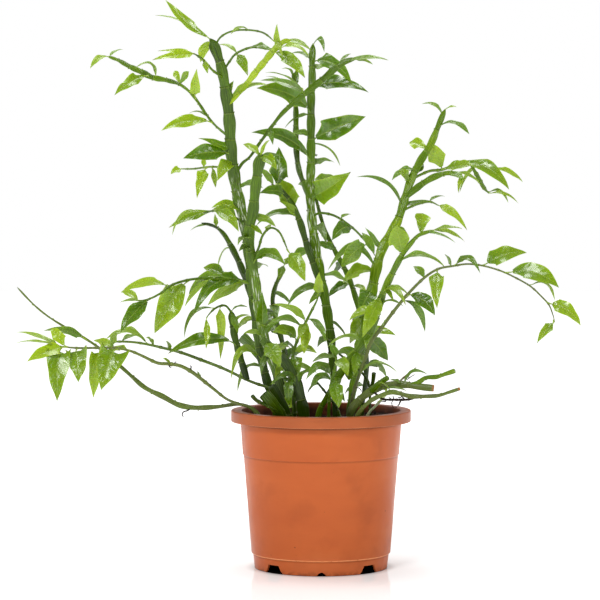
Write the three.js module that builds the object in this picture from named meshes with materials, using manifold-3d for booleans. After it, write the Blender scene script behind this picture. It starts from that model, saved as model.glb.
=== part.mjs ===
// A potted ribbon plant (sold as amazon fern) in a terracotta-coloured plastic nursery pot.
// Flat jointed stems stand in plain holes in the compost and carry arrow-shaped leaves.
// Millimetres, +Z up, the ground at Z = 0. Plant positions are measured from the pot's own axis:
// X to the viewer's right, Y away from the viewer. Stems and leaves are laid out as the viewer sees
// them against the plane through the pot's axis. The finished group is then moved so that the origin
// is the middle of the whole plant's outline on the ground.
import * as THREE from "three";
import { mergeVertices } from "three/addons/utils/BufferGeometryUtils.js";
import Module from "manifold-3d";

const wasm = await Module();
wasm.setup();

// Driving dimensions of the pot
const SIDES = 28; // flats round the pot and the compost
const RIM_RADIUS = 90;
const POT_HEIGHT = 158;
const RIM_DROP = 11; // height of the rim's outer band
const RIM_CHAMFER = 1;
const PLASTIC = 1.7; // wall thickness
const UNDER_RIM = 2.4; // from the rim's top to the underside of its flat part
const WALL_TOP_RADIUS = 81.4; // outside, under the rim
const STEP_HEIGHT = 114; // where the upper band ends
const STEP_RADIUS = 78.4; // outside, at the foot of the upper band
const STEP_INSET = 0.9;
const STEP_EASE = 1; // height over which a step or a ledge is eased
const LEDGE_HEIGHT = 15; // top of the foot ring
const LEDGE_RADIUS = 69.7;
const LEDGE_INSET = 1.6;
const FOOT_RADIUS = 66.5; // outside of the foot ring, on the ground
const FOOT_WALL = 2.2;
const FOOT_TAPER = 1.4; // how much thicker the foot ring's wall is at the floor
const FLOOR_HEIGHT = 12.4; // underside of the pot's floor
const FEET = 4;
const FOOT_GAP = 21; // width of the gap between two feet, at the ground
const FOOT_GAP_TOP = 15;
const FOOT_GAP_HEIGHT = 8;
const NOTCH_RADIUS = 3; // half-round notch under the middle of each foot
const DRAINS = 8;
const DRAIN_RADIUS = 5;
const DRAIN_CIRCLE = 50;
const BORE_SIDES = 8;
const TOOL_REACH = 20; // length of the tools that cut the gaps and the notches

// Driving dimensions of the compost
const SOIL_HEIGHT = 142;
const SOIL_GAP = 0.35; // clearance to the pot
const SOIL_RELIEF = 2.2; // height of the crumbs
const SOIL_HEAP = 9; // how much higher the compost is heaped at one side
const HEAP_AT = 0.45; // the way to that side from X, in radians
const SOIL_RINGS = [0.3, 0.65, 1];
const SOIL_CHAMFER = 1.2; // round the underside
const SOIL_TRIM = 0.15; // the top's rim stands back by this
const CRUMB_STEP = 0.7548776662; // irrational, so that no two crumbs are alike
const RIM_CRUMB = 0.3; // crumbs at the pot's wall, as a share of the others
const HOLE_GAP = 0.6; // clearance round each stem's flat
const HOLE_SIDE_GAP = 0.84; // clearance at its edges
const HOLE_BEND = 0.6; // where the hole follows the stem's bend, as a share of its depth
const HOLE_TOP = SOIL_HEIGHT + 11; // the holes are cut to just above the compost

// Driving dimensions shared by all stems and leaves
const SPAN_STEPS = 8; // straight pieces in each span of a stem's curve
const WAIST = 0.88; // width at a joint, as a share of the ribbon's width
const FOOT_WAIST = 0.94; // the same at a ribbon's foot, and at all joints of a thin stem
const CUT_END = 0.96; // the same at a cut end
const GROWN_END = 0.45; // the same at a grown tip
const SHOULDER = 0.8; // where the ribbon is widest, as a share of the way to the next joint
const RIBBON_EDGE = 0.22; // half-width of the ribbon's flat middle, as a share of its width
const BLADE_THICK = 1.2;
const STALK_RADIUS = 0.8;
const STALK_HALF = 0.96; // half the stalk's width, where it joins the blade
const STALK_SHARE = 0.12; // the stalk's share of a leaf's length
const ROOT_DEPTH = 3; // how far back along the stem a leaf's root point lies
const BROAD_LEAF = 11; // leaves at least this wide have a round stalk and more sections
// Places on a blade run from -1 at its foot over 0 at its two corners to 1 at its tip.
const BROAD_BLADE = [0, 0.36, 0.72];
const NARROW_BLADE = [0, 0.5];
const BLADE_SAMPLES = [-0.5, 0, 0.17, 0.33, 0.5, 0.7, 0.85, 1]; // points that are kept clear of others
const SAMPLES_ACROSS = [-1, -0.33, 0.33, 1];
const CORNER = [0.14, 0.42]; // where along the blade its corners stand, where a leaf doesn't say it
const BLADE_FOOT = 0.2; // half-width at the blade's foot, as a share of the half-width at its corners
const BULGE = 0.5; // how far its sides bow out between a corner and the tip
const BROAD_RIBBON = 8; // ribbons at least this wide have flat faces, the others a lens section
const LOOSE_RIBBON = 5; // ribbons narrower than this have one section a joint
const FOLD = 0.22; // how far the blade's edges rise above its midrib, as a share of its half-width
const WAVE = 0.1; // height of the edge's waves, as a share of its half-width
const LEAF_CLEAR = 4.6; // between sample points of leaves on different stems
const OWN_CLEAR = 2.6; // between sample points of leaves on one stem
const STEM_CLEAR = 2.4; // from a leaf's sample points to another stem's surface
const FILL_REACH = [20, 34]; // length of the leaves that stand all round a stem, from the front
const FILL_RISE = [-0.5, 0.35]; // their tips' rise, as a share of that
const FILL_WIDTH = 0.35; // their width, as a share of their length
const FILL_FACE = [35, 62];
const FILL_ARCH = 0.16;
const FILL_DEPTH = 1.3; // how far they reach forward and back, as a share of their length from the front
const GOLDEN_TURN = Math.PI * (3 - Math.sqrt(5));
const LEAN = 1.4; // how late along its length a stem leans forward or back
const SPREAD = 1.5; // how much farther before or behind the pot's axis a tip stands than its depth says
const BEND_AT = 0.42; // where a leaf's midrib is bent, as a share of its length
const SHIFT_SHARE = 0.45; // how much of a leaf's shift forward or back its bend takes part in
const LEAST_UP = 0.35; // leaves nearer to upright than this arch sideways
const LEAST_ACROSS = 0.2; // a blade that would stand nearer to edge-on than this is turned a little
const TURN_ASIDE = 0.3; // by how much
const WOOD_STEP = 4; // between the points of a stem that leaves are kept clear of
const TANGENT_STEP = 2;
const END_CLEAR = 0.02; // how near a leaf's root point comes to the end of a straight piece, as a share
const VIEWER = [-21, -2750, 403]; // where the viewer stands
const DEPTH_TRIES = [0, 8, -8, 15, -15, 22, -22, 30, -30, 38, -38];

// Spreads values evenly over 0 to 1 for k = 0, 1, 2 ...: multiples of an irrational step.
const spread = (k, step = 0.6180339887) => (k * step + 0.37) % 1;

const vec = (x, y, z) => new THREE.Vector3(x, y, z);
const lerp = THREE.MathUtils.lerp;

// The stems. Each has a name, a tone of green and its axes: first the stem itself, then its side branches.
// path: the axis from the front, as x and z. depth: y at its foot and at its tip, or only at the tip
// for a side branch, whose foot is on the axis that it grows from; a tip's is multiplied by SPREAD.
// fill: heights between which the stem carries further leaves all round, and their number.
// width: ribbon widths spaced evenly along it. thick: ribbon thickness.
// joint: distance between joints. turn: the ribbon's turn about its axis in degrees, at its foot
// and at its tip. leaves: [x and z where the stalk starts, x and z of the tip, blade width,
// face in degrees, arch, depth of the tip behind its start, corner]. Face 0 is a level blade, 90 turns
// its upper side to the viewer. Arch is the rise of the midrib as a share of the leaf's length. Corner
// is the share of the blade's length where it is widest: 0.04 is an arrowhead, 0.7 a fan. The last two
// may be left to a rule.
const STEMS = [
  {
    name: "stem_left_tall",
    tone: "fresh",
    axes: [
      {
        path: [[-44, 118], [-45, 163], [-53, 183], [-61, 218], [-66, 256], [-69, 283], [-72, 313],
          [-75, 338], [-81, 363], [-86, 388], [-90, 418], [-91, 443], [-94, 470], [-99, 498],
          [-106, 520], [-111, 529]],
        depth: [18, -25], fill: [170, 400, 6],
        width: [9, 9, 10, 10.5, 12, 12.5, 12.5, 9], thick: 2.8, joint: 26, turn: [10, -15],
        leaves: [
          [-111, 529, -155, 568, 10, 66, -0.06, 16, 0.4], [-110, 527, -166, 553, 4, 32, 0.08],
          [-110, 526, -120, 505, 11, 64, 0.1], [-94, 417, -122, 430, 10, 60, 0.03, -10, 0.2],
          [-92, 414, -137, 410, 17, 75, 0.06, -24, 0.35], [-84, 409, -103, 388, 14, 66, 0.1, -34, 0.25],
          [-90, 464, -52, 483, 9, 42, 0.16], [-92, 470, -87, 487, 8, 60, 0.05],
          [-60, 207, -90, 188, 9, 54, 0.42, -31], [-58, 200, -84, 176, 7, 50, 0.3, 27],
        ],
      },
      { // thin side branch to the far left
        path: [[-91, 430], [-109, 446], [-126, 470], [-139, 482], [-153, 487], [-168, 490],
          [-178, 495], [-191, 501], [-202, 507], [-213, 511]],
        depth: [45], width: [2.4, 2.6, 3.2, 3, 5.5, 6.5, 5, 2], thick: 1.8, joint: 16, turn: [0, 0],
        leaves: [
          [-109, 448, -159, 438, 14, 62, 0.08, -20, 0.35], [-112, 450, -132, 455, 5, 34, 0.15, 17],
          [-126, 470, -124, 498, 11, 65, 0.03, -14, 0.14], [-141, 484, -146, 497, 7, 58, 0.03, 10, 0.72],
          [-141, 484, -132, 496, 8, 64, 0.03, -10, 0.72], [-165, 490, -185, 500, 5, 34, 0.42, -10],
          [-174, 491, -206, 473, 13, 64, 0.06, -17], [-212, 511, -230, 499, 7, 44, 0.16, -10],
          [-211, 511, -197, 518, 3.5, 32, 0.1, 14],
        ],
      },
      { // short branch at the top left
        path: [[-98, 490], [-108, 497], [-117, 507], [-127, 514]],
        depth: [-55], width: [2.4, 2.6, 2.2], thick: 1.8, joint: 14, turn: [0, 0],
        leaves: [
          [-127, 514, -163, 517, 7, 60, 0.02, 10, 0.2], [-126, 513, -168, 508, 10, 66, 0.02, -17, 0.16],
          [-118, 507, -113, 494, 6, 60, 0.05, -7],
        ],
      },
      { // thin shoot arching to the right at the top
        path: [[-106, 520], [-100, 530], [-88, 536], [-72, 537], [-57, 534], [-46, 525]],
        depth: [-62], width: [2, 2, 1.8], thick: 1.7, joint: 15, turn: [0, 0],
        leaves: [[-72, 537, -90, 533, 4, 38, 0.2, -14], [-47, 526, -38, 510, 5, 50, 0.1, -10]],
      },
      { // chain of leaves to the right, under it
        path: [[-98, 495], [-91, 506], [-84, 514], [-68, 520], [-50, 518], [-38, 520]],
        depth: [25], width: [2.2, 2.4, 2.4, 2], thick: 1.7, joint: 15, turn: [0, 0],
        leaves: [
          [-84, 514, -73, 492, 11, 68, 0.05, -14], [-84, 514, -102, 523, 6, 40, 0.12, 10],
          [-70, 519, -48, 515, 7, 44, 0.15, -14], [-39, 520, -12, 511, 7, 42, 0.18, -14],
        ],
      },
      { // broad pale branch rising to the right
        path: [[-92, 462], [-84, 472], [-76, 481], [-66, 494], [-57, 505], [-47, 517], [-38, 525],
          [-30, 527]],
        depth: [-70], width: [2.5, 6, 7, 7, 7, 3], thick: 2, joint: 18, turn: [0, 10],
        leaves: [
          [-44, 520, -44, 543, 7, 78, 0.02, -7], [-33, 526, -10, 517, 7, 44, 0.1, -10],
          [-48, 515, -16, 490, 15, 58, 0.1, -20], [-40, 523, -14, 524, 5, 36, 0.12, 14],
        ],
      },
      { // branch that crosses behind the big leaf and in front of the middle stem
        path: [[-86, 392], [-79, 404], [-71, 411], [-61, 425], [-50, 440], [-38, 455], [-21, 470],
          [-10, 479], [4, 490], [14, 499], [25, 506], [36, 509]],
        depth: [-20], width: [3, 3, 3.5, 4, 6, 7, 7, 3], thick: 2.2, joint: 21, turn: [0, 0],
        leaves: [
          [-51, 438, -48, 423, 6, 56, 0.05, -10], [25, 506, 67, 508, 7, 44, 0.06, -17],
          [18, 501, 30, 514, 4, 44, 0.1, 14], [-17, 473, -61, 488, 9, 42, 0.08, 24],
          [-16, 474, -55, 496, 4, 38, 0.12, -24], [30, 507, 52, 503, 5, 44, 0.1, 7],
        ],
      },
      { // thin branch to the left with a bright pair
        path: [[-86, 396], [-97, 400], [-111, 401], [-127, 399], [-141, 399]],
        depth: [40], width: [2.2, 2.2, 2, 1.8], thick: 1.7, joint: 15, turn: [0, 0],
        leaves: [
          [-115, 402, -124, 370, 12, 76, 0.05, -10, 0.14], [-110, 400, -105, 380, 6, 64, 0.05, 10],
          [-140, 399, -150, 394, 8, 64, 0.05, -7], [-118, 401, -117, 412, 5, 56, 0.02, 8],
        ],
      },
      { // branch with two olive leaves
        path: [[-77, 346], [-86, 350], [-97, 355], [-107, 357], [-118, 355]],
        depth: [-60], width: [2.6, 2.4, 2.2, 1.8], thick: 1.7, joint: 14, turn: [0, 0],
        leaves: [
          [-84, 349, -108, 359, 13, 54, 0.12, -20], [-107, 357, -152, 341, 10, 60, 0.05, -14, 0.4],
          [-108, 357, -82, 337, 13, 64, 0.14, -20, 0.3], [-117, 355, -149, 333, 5, 48, 0.26, 17],
        ],
      },
      { // dark ribbon arching to the left
        path: [[-68, 266], [-75, 288], [-83, 308], [-91, 324], [-98, 335], [-107, 342], [-120, 345]],
        depth: [35], width: [6.8, 7.9, 7.9, 6.8, 4, 2.2], thick: 2.4, joint: 22, turn: [-28, -28],
        leaves: [
          [-107, 342, -131, 338, 4, 38, 0.1, 14], [-104, 340, -106, 354, 5, 56, 0.03, -14],
          [-88, 318, -104, 300, 6, 50, 0.2, 34],
        ],
      },
      { // chain of leaves to the left with the two big glossy ones
        path: [[-70, 284], [-82, 288], [-95, 289], [-114, 290], [-133, 288], [-149, 283], [-160, 275],
          [-172, 269], [-184, 267]],
        depth: [-60], width: [3, 3, 2.6, 2.6, 2.2, 1.8], thick: 1.9, joint: 19, turn: [0, 0],
        leaves: [
          [-132, 288, -166, 235, 25, 80, 0.05, -17, 0.3], [-170, 269, -201, 236, 16, 76, 0.05, -14, 0.3],
          [-183, 267, -200, 277, 9, 56, 0.1, 14], [-182, 267, -201, 266, 5, 38, 0.05, -14],
          [-152, 282, -201, 275, 11, 54, 0.14, 20, 0.3], [-93, 289, -133, 274, 11, 54, 0.2, -20, 0.4],
          [-76, 286, -137, 261, 12, 50, 0.24, 24], [-74, 284, -128, 252, 15, 62, 0.24, -24],
          [-73, 284, -114, 262, 14, 68, 0.1, 34], [-93, 288, -118, 301, 12, 60, 0.08, 14, 0.5],
        ],
      },
      { // old cut side ribbon
        path: [[-59, 208], [-68, 221], [-79, 231]],
        depth: [30], width: [8, 11, 11], thick: 2.4, joint: 24, turn: [0, 0], cut: true, leaves: [],
      },
    ],
  },
  {
    name: "stem_left_second",
    tone: "deep",
    axes: [
      {
        path: [[-36, 118], [-38, 168], [-46, 198], [-56, 228], [-62, 256], [-65, 283], [-69, 308],
          [-72, 328], [-71, 342], [-68, 356], [-66, 373], [-64, 390], [-60, 416]],
        depth: [-4, -30], fill: [175, 380, 6],
        width: [9, 10, 10, 10, 10, 11.5, 12, 11.5], thick: 2.8, joint: 25, turn: [-32, 30],
        leaves: [
          [-60, 412, -44, 398, 12, 60, 0.12, -17], [-61, 410, -78, 424, 8, 50, 0.1, 17],
          [-62, 404, -37, 410, 8, 44, 0.16, 27], [-66, 320, -82, 317, 8, 52, 0.14, -20],
          [-66, 306, -36, 304, 15, 56, 0.24, -27], [-64, 342, -58, 333, 6, 64, 0.02, -14],
          [-56, 240, -59, 276, 12, 70, 0.05, -24], [-55, 240, -47, 260, 9, 64, 0.05, 20],
          [-54, 231, -40, 248, 7, 56, 0.1, -17], [-61, 412, -52, 428, 6, 56, 0.05, -20],
        ],
      },
      { // thin shoot arching over to the right, with the long hanging leaf
        path: [[-66, 312], [-62, 321], [-59, 331], [-54, 338], [-48, 340], [-41, 335], [-35, 322],
          [-33, 316]],
        depth: [-50], width: [2.6, 2.4, 2, 1.8], thick: 1.8, joint: 15, turn: [0, 0],
        leaves: [[-33, 317, -16, 287, 17, 72, 0.06, -14], [-55, 337, -50, 344, 5, 56, 0.02, 10]],
      },
    ],
  },
  {
    name: "stem_middle_tall",
    tone: "deep",
    axes: [
      {
        path: [[16, 118], [15, 155], [14, 173], [12, 203], [10, 228], [7, 252], [4, 270], [1, 283],
          [-2, 300], [-5, 318], [-8, 338], [-10, 359], [-11, 378], [-10, 404], [-10, 430], [-10, 453],
          [-10, 473], [-9, 488], [-9, 504], [-8, 524]],
        depth: [8, 34], fill: [175, 500, 8],
        width: [7, 7.5, 8.5, 10, 10.5, 10.5, 10, 9, 9, 9, 8.5, 5.5], thick: 2.8, joint: 24, turn: [38, -28],
        leaves: [
          [-8, 523, 3, 515, 6, 48, 0.5, -14], [-9, 507, 31, 484, 15, 64, 0.16, -17],
          [-9, 478, 47, 476, 16, 64, 0.12, -27], [-9, 427, 44, 451, 23, 76, 0.03, -10],
          [-9, 424, 20, 402, 6, 38, 0.16, 20], [-9, 371, 29, 396, 26, 78, -0.05, -14],
          [-10, 402, 14, 406, 9, 50, 0.12, 27], [-12, 455, -63, 480, 22, 68, 0.1, -41],
          [-12, 406, -68, 436, 16, 60, 0.12, -44], [-11, 506, -34, 512, 6, 44, 0.16, 24],
          [-12, 452, -37, 440, 5, 44, 0.1, 20], [4, 280, -34, 262, 10, 52, 0.18, -27],
          [4, 279, -12, 264, 7, 56, 0.05, -17], [8, 246, 26, 230, 6, 54, 0.1, 24],
          [-10, 345, 2, 330, 5, 50, 0.1, 27],
        ],
      },
      { // dark ribbon leaning to the left
        path: [[0, 283], [-9, 308], [-15, 326], [-21, 346], [-28, 362], [-37, 375], [-50, 384]],
        depth: [0], width: [6.8, 7.9, 7.9, 7.9, 5.6, 2.8], thick: 2.4, joint: 22, turn: [28, 28],
        leaves: [
          [-26, 350, -41, 367, 9, 64, 0.05, -14], [-24, 351, -65, 343, 8, 48, 0.2, -17],
          [-27, 355, -44, 354, 4, 40, 0.16, 14], [-36, 374, -61, 375, 13, 64, 0.1, -20],
          [-24, 360, -46, 391, 19, 70, 0.05, 20], [-44, 381, -42, 421, 19, 82, 0.03, 10],
          [-48, 383, -64, 400, 8, 56, 0.1, -10],
        ],
      },
      { // branch behind, rising beside the stem
        path: [[-11, 368], [-17, 383], [-22, 398], [-24, 412], [-25, 430], [-25, 452], [-26, 470],
          [-27, 488], [-29, 496]],
        depth: [48], width: [6.5, 7.2, 7.8, 7.8, 6.5, 3.9], thick: 2.3, joint: 21, turn: [-40, -40],
        leaves: [
          [-28, 492, -39, 499, 4, 48, 0.2, -7], [-26, 475, -55, 492, 4, 40, 0.1, 20],
          [-27, 480, -24, 500, 7, 64, 0, 7],
        ],
      },
      { // thin shoot to the right
        path: [[-8, 352], [0, 355], [14, 352], [28, 343], [39, 333], [49, 321], [54, 312]],
        depth: [-25], width: [2.6, 2.4, 2.2, 2], thick: 1.8, joint: 17, turn: [0, 0],
        leaves: [
          [33, 339, 11, 328, 16, 64, 0.16, -27], [53, 313, 41, 336, 9, 58, 0.05, 14],
          [46, 324, 20, 300, 17, 70, 0.08, 24], [20, 349, 30, 354, 4, 44, 0.1, 10],
        ],
      },
    ],
  },
  {
    name: "stem_back_thin",
    tone: "deep",
    axes: [
      {
        path: [[38, 118], [41, 158], [45, 190], [44, 230], [37, 262], [27, 292], [14, 317], [4, 338],
          [-4, 365], [-7, 383]],
        depth: [38, 70], fill: [170, 360, 4],
        width: [5.2, 6.5, 7.8, 7.8, 7.2, 5.2, 3.9], thick: 2.2, joint: 24, turn: [40, 40],
        leaves: [
          [30, 283, 7, 271, 10, 62, 0.1, -10], [31, 282, 46, 275, 6, 44, 0.16, -14],
          [20, 305, 13, 294, 8, 64, 0.03, 14], [-6, 380, 14, 392, 12, 56, 0.1, 27],
          [-5, 372, -24, 384, 12, 54, 0.14, 34], [42, 240, 60, 250, 12, 56, 0.12, 31],
          [44, 214, 30, 200, 12, 56, 0.2, 27], [44, 200, 66, 190, 12, 54, 0.25, 24],
        ],
      },
    ],
  },
  {
    name: "stem_right_tall",
    tone: "fresh",
    axes: [
      {
        path: [[26, 118], [31, 173], [37, 203], [42, 228], [47, 256], [51, 278], [55, 298], [61, 319],
          [69, 334], [77, 348], [83, 367], [89, 386], [98, 405], [109, 423], [117, 442], [124, 459]],
        depth: [12, 45], fill: [175, 400, 6],
        width: [7.5, 8.5, 9.5, 11, 11.5, 11, 10, 9, 8.5, 8, 4.5], thick: 2.8, joint: 25, turn: [30, -26],
        leaves: [
          [120, 453, 100, 464, 4.5, 46, 0.22, 10, 0.4], [123, 458, 135, 461, 3.5, 38, 0.1, -8],
          [116, 440, 148, 434, 6, 50, 0.24, -14, 0.66], [104, 419, 88, 426, 13, 66, 0.05, 14, 0.6],
          [88, 386, 78, 397, 13, 66, 0.03, -14, 0.6], [91, 390, 102, 406, 10, 60, 0.03, 14, 0.5],
          [78, 360, 36, 392, 6, 46, 0.2, -20, 0.4], [82, 358, 117, 364, 6, 40, 0.12, 14],
          [60, 318, 44, 341, 6, 46, 0.03, 14, 0.25], [56, 298, 7, 298, 9, 52, 0.46, -17],
          [62, 294, 21, 285, 17, 64, 0.16, 24, 0.45], [57, 276, 38, 254, 18, 64, 0.05, -17],
          [43, 250, 28, 224, 17, 68, 0.05, 24], [44, 232, 36, 211, 12, 64, 0.05, -20],
          [45, 256, 31, 248, 7, 56, 0.05, -24], [36, 207, 18, 219, 12, 62, 0.12, 20],
        ],
      },
      { // broad side branch
        path: [[84, 370], [92, 377], [101, 384], [113, 391], [128, 395], [142, 391]],
        depth: [20], width: [5, 7, 7, 5, 3], thick: 2.3, joint: 20, turn: [0, 0],
        leaves: [
          [128, 395, 143, 388, 9, 56, 0.05, -14], [132, 394, 160, 383, 6, 50, 0.14, 14],
          [141, 391, 137, 375, 5, 56, 0.1, -14],
        ],
      },
      { // leafy branch above it
        path: [[90, 388], [99, 393], [109, 397], [120, 398], [133, 402], [148, 403], [160, 402],
          [172, 399]],
        depth: [85], width: [2.6, 3, 3, 2.4, 2], thick: 1.9, joint: 17, turn: [0, 0],
        leaves: [
          [121, 398, 107, 425, 18, 74, 0.03, -14, 0.45], [121, 398, 152, 403, 13, 56, 0.04, -17, 0.4],
          [132, 402, 188, 379, 14, 60, 0.18, -20, 0.45], [171, 399, 202, 386, 7, 52, 0.1, 14, 0.4],
          [160, 401, 138, 375, 5, 52, 0.16, 24],
        ],
      },
      { // thin shoot that hangs from it
        path: [[150, 402], [156, 392], [162, 381], [168, 374]],
        depth: [82], width: [2.6, 4.4, 4.2, 2], thick: 1.6, joint: 11, turn: [0, 0],
        leaves: [[168, 374, 197, 365, 4, 52, 0.16, -10], [167, 375, 187, 365, 4, 50, 0.28, 12]],
      },
      { // lower leafy branch
        path: [[80, 356], [87, 360], [97, 364], [109, 366], [118, 362]],
        depth: [0], width: [2.4, 2.6, 2.2, 1.8], thick: 1.8, joint: 15, turn: [0, 0],
        leaves: [[117, 363, 146, 338, 10, 58, 0.1, -14], [107, 366, 124, 372, 4, 38, 0.1, 14]],
      },
    ],
  },
  {
    name: "stem_right_second",
    tone: "fresh",
    axes: [
      {
        path: [[-8, 118], [-2, 155], [8, 173], [20, 195], [34, 214], [42, 225], [49, 235], [52, 246],
          [56, 256], [59, 266], [63, 277], [68, 288], [74, 300], [81, 313], [90, 325], [98, 333],
          [113, 338]],
        depth: [-22, -50], fill: [170, 300, 4],
        width: [6.6, 7.6, 8.4, 10.4, 12.4, 11, 8.6, 7.4, 5.2, 2.6], thick: 2.6, joint: 23, turn: [45, 15],
        leaves: [
          [99, 334, 102, 355, 16, 72, 0.02, 10, 0.78], [112, 338, 141, 340, 6, 44, 0.06, -14],
          [104, 335, 134, 326, 4, 44, 0.08, -20], [112, 338, 144, 327, 7, 50, 0.1, 14],
          [81, 314, 75, 342, 21, 84, 0.03, -14, 0.5], [77, 304, 125, 301, 9, 46, 0.2, -17],
          [68, 281, 89, 271, 5, 38, 0.14, -14], [66, 279, 73, 266, 6, 56, 0.05, -17],
          [60, 274, 42, 231, 15, 76, 0.04, -27], [58, 252, 83, 262, 5, 40, 0.3, -17],
          [51, 240, 47, 216, 10, 68, 0.03, -17], [42, 225, 6, 221, 7, 44, 0.22, -14],
          [50, 229, 67, 207, 16, 74, 0.05, 7], [38, 217, 33, 192, 9, 70, 0.03, -17],
          [30, 208, 28, 187, 11, 68, 0.03, 14], [18, 192, 14, 172, 7, 64, 0.05, -14],
        ],
      },
    ],
  },
  {
    name: "shoot_right_arching",
    tone: "fresh",
    axes: [
      {
        path: [[27, 118], [30, 160], [33, 177], [36, 186], [41, 200], [46, 214], [50, 226], [59, 238],
          [73, 257], [87, 274], [103, 290], [117, 299], [132, 302], [147, 304], [163, 302], [180, 297],
          [195, 290], [209, 282], [220, 272], [228, 263], [232, 253], [234, 245]],
        depth: [-38, -85],
        width: [3.4, 3.4, 3.2, 4, 3.4, 2.6, 2, 1.8, 1.7, 1.6], thick: 2, joint: 22, turn: [0, 0],
        leaves: [
          [86, 274, 114, 253, 16, 66, 0.12, -17, 0.4], [117, 299, 116, 260, 15, 76, 0.03, -10, 0.16],
          [103, 290, 92, 302, 9, 52, 0.1, 14], [131, 302, 124, 314, 6, 50, 0.05, -10],
          [134, 302, 159, 295, 8, 50, 0.36, -17], [162, 302, 206, 316, 18, 66, 0.1, 14, 0.2],
          [187, 295, 238, 281, 20, 68, 0.14, -17, 0.36], [209, 282, 234, 267, 5, 38, 0.34, 14],
          [227, 264, 260, 243, 15, 68, 0.12, -14], [234, 246, 216, 225, 11, 70, 0.05, -10],
          [82, 268, 104, 236, 8, 56, 0.2, 14], [60, 240, 66, 249, 4, 50, 0.05, -10],
          [38, 192, 77, 196, 6, 38, 0.26, -14],
        ],
      },
    ],
  },
  {
    name: "runner_left_low",
    tone: "old",
    axes: [
      {
        path: [[-57, 118], [-60, 148], [-70, 160], [-84, 163.5], [-103, 161], [-126, 160], [-143, 163],
          [-158, 171], [-176, 180], [-189, 191], [-199, 200], [-221, 219], [-237, 230], [-258, 242],
          [-275, 253], [-289, 265], [-304, 281]],
        depth: [-8, 2],
        width: [3, 3, 3.6, 5.5, 6, 5, 3.6, 3, 2.4, 2, 1.6], thick: 2, joint: 24, turn: [0, 0],
        leaves: [[-236, 229, -277, 238, 11, 52, 0.08, -14]],
      },
    ],
  },
  {
    name: "runner_left_middle",
    tone: "fresh",
    axes: [
      {
        path: [[-57, 118], [-61, 146], [-70, 159], [-83, 164], [-95, 169], [-109, 180], [-128, 195],
          [-141, 202], [-153, 204], [-164, 205], [-179, 212], [-191, 217], [-206, 220], [-226, 220],
          [-246, 220], [-264, 222]],
        depth: [-27, -30], width: [2.6, 2.8, 2.8, 4, 3.6, 2.6, 2.4, 2], thick: 1.9, joint: 20, turn: [0, 0],
        leaves: [
          [-206, 220, -220, 178, 29, 78, 0.04, -14, 0.05], [-222, 220, -228, 170, 15, 74, 0.03, -6, 0.06],
          [-192, 217, -221, 205, 9, 50, 0.2, 17], [-245, 220, -243, 186, 21, 78, 0.03, -10, 0.05],
          [-261, 222, -264, 167, 24, 80, 0.03, -10, 0.06], [-256, 222, -294, 207, 15, 66, 0.05, -17, 0.2],
          [-263, 222, -305, 237, 7, 40, 0.05, 14], [-264, 222, -305, 226, 5, 38, 0.06, -7],
          [-256, 221, -270, 240, 12, 66, 0.03, 24, 0.4], [-206, 220, -228, 228, 11, 56, 0.06, 17, 0.3],
          [-150, 204, -158, 210, 4, 56, 0.05, -8], [-122, 190, -124, 197, 3, 50, 0.05, 8],
          [-211, 220, -204, 235, 8, 60, 0.05, -14, 0.5],
        ],
      },
    ],
  },
  {
    name: "runner_left_high",
    tone: "deep",
    axes: [
      {
        path: [[-23, 118], [-25, 148], [-33, 168], [-44, 177], [-55, 181], [-72, 187], [-97, 199],
          [-120, 208], [-139, 215], [-158, 220], [-176, 224], [-191, 226], [-208, 226], [-222, 223]],
        depth: [-6, 30], width: [2.8, 3, 3, 3, 3.4, 3, 2.4, 2], thick: 2, joint: 21, turn: [0, 0],
        leaves: [
          [-167, 222, -175, 231, 6, 50, 0.1, -10], [-174, 224, -216, 229, 10, 48, 0.24, -17],
          [-152, 219, -155, 227, 6, 60, 0.05, -10], [-200, 226, -180, 232, 6, 44, 0.12, 14],
        ],
      },
      { // broad dark upright ribbon
        path: [[-74, 188], [-77, 198], [-82, 215], [-87, 234], [-89, 250], [-90, 258]],
        depth: [5], width: [6, 7.5, 7.5, 7, 6], thick: 2.4, joint: 19, turn: [0, 0],
        leaves: [
          [-84, 226, -153, 215, 14, 60, 0.12, -27], [-89, 256, -83, 235, 7, 68, 0.02, -17],
          [-88, 244, -71, 253, 5, 44, 0.14, -17], [-89, 257, -73, 261, 4, 38, 0.14, -14],
        ],
      },
      { // thin shoot from its top with the hanging leaves
        path: [[-90, 256], [-95, 262], [-101, 262], [-108, 258], [-115, 250]],
        depth: [-10], width: [2.4, 2.2, 2, 1.8], thick: 1.8, joint: 12, turn: [0, 0],
        leaves: [
          [-106, 259, -137, 230, 6, 46, 0.28, -14], [-115, 250, -115, 219, 7, 64, 0.03, -10],
          [-102, 261, -101, 208, 9, 64, 0.03, 14],
        ],
      },
    ],
  },
  {
    name: "stub_front_wide",
    tone: "old",
    axes: [
      {
        path: [[-38, 118], [-39, 150], [-46, 161], [-57, 174]],
        depth: [-47, -52], width: [9, 11, 12, 12.5], thick: 2.6, joint: 40, turn: [0, 0], cut: true,
        leaves: [],
      },
      { // two bare twig ends beside it
        path: [[-42, 156], [-54, 162], [-64, 167], [-69, 172]],
        depth: [-62], width: [2.4, 3, 4, 4.4], thick: 2, joint: 14, turn: [0, 0], cut: true, leaves: [],
      },
    ],
  },
  {
    name: "stub_front_left",
    tone: "deep",
    axes: [
      {
        path: [[-30, 118], [-33, 150], [-40, 166], [-49, 182]],
        depth: [-33, -34], width: [8, 10, 10, 9], thick: 2.6, joint: 40, turn: [0, 0], cut: true,
        leaves: [[-34, 154, -31, 182, 9, 68, 0.03, 14]],
      },
    ],
  },
  {
    name: "stub_front_leaning",
    tone: "deep",
    axes: [
      {
        path: [[-14, 118], [-17, 152], [-21, 172], [-27, 190], [-36, 206], [-49, 219], [-59, 229]],
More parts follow.
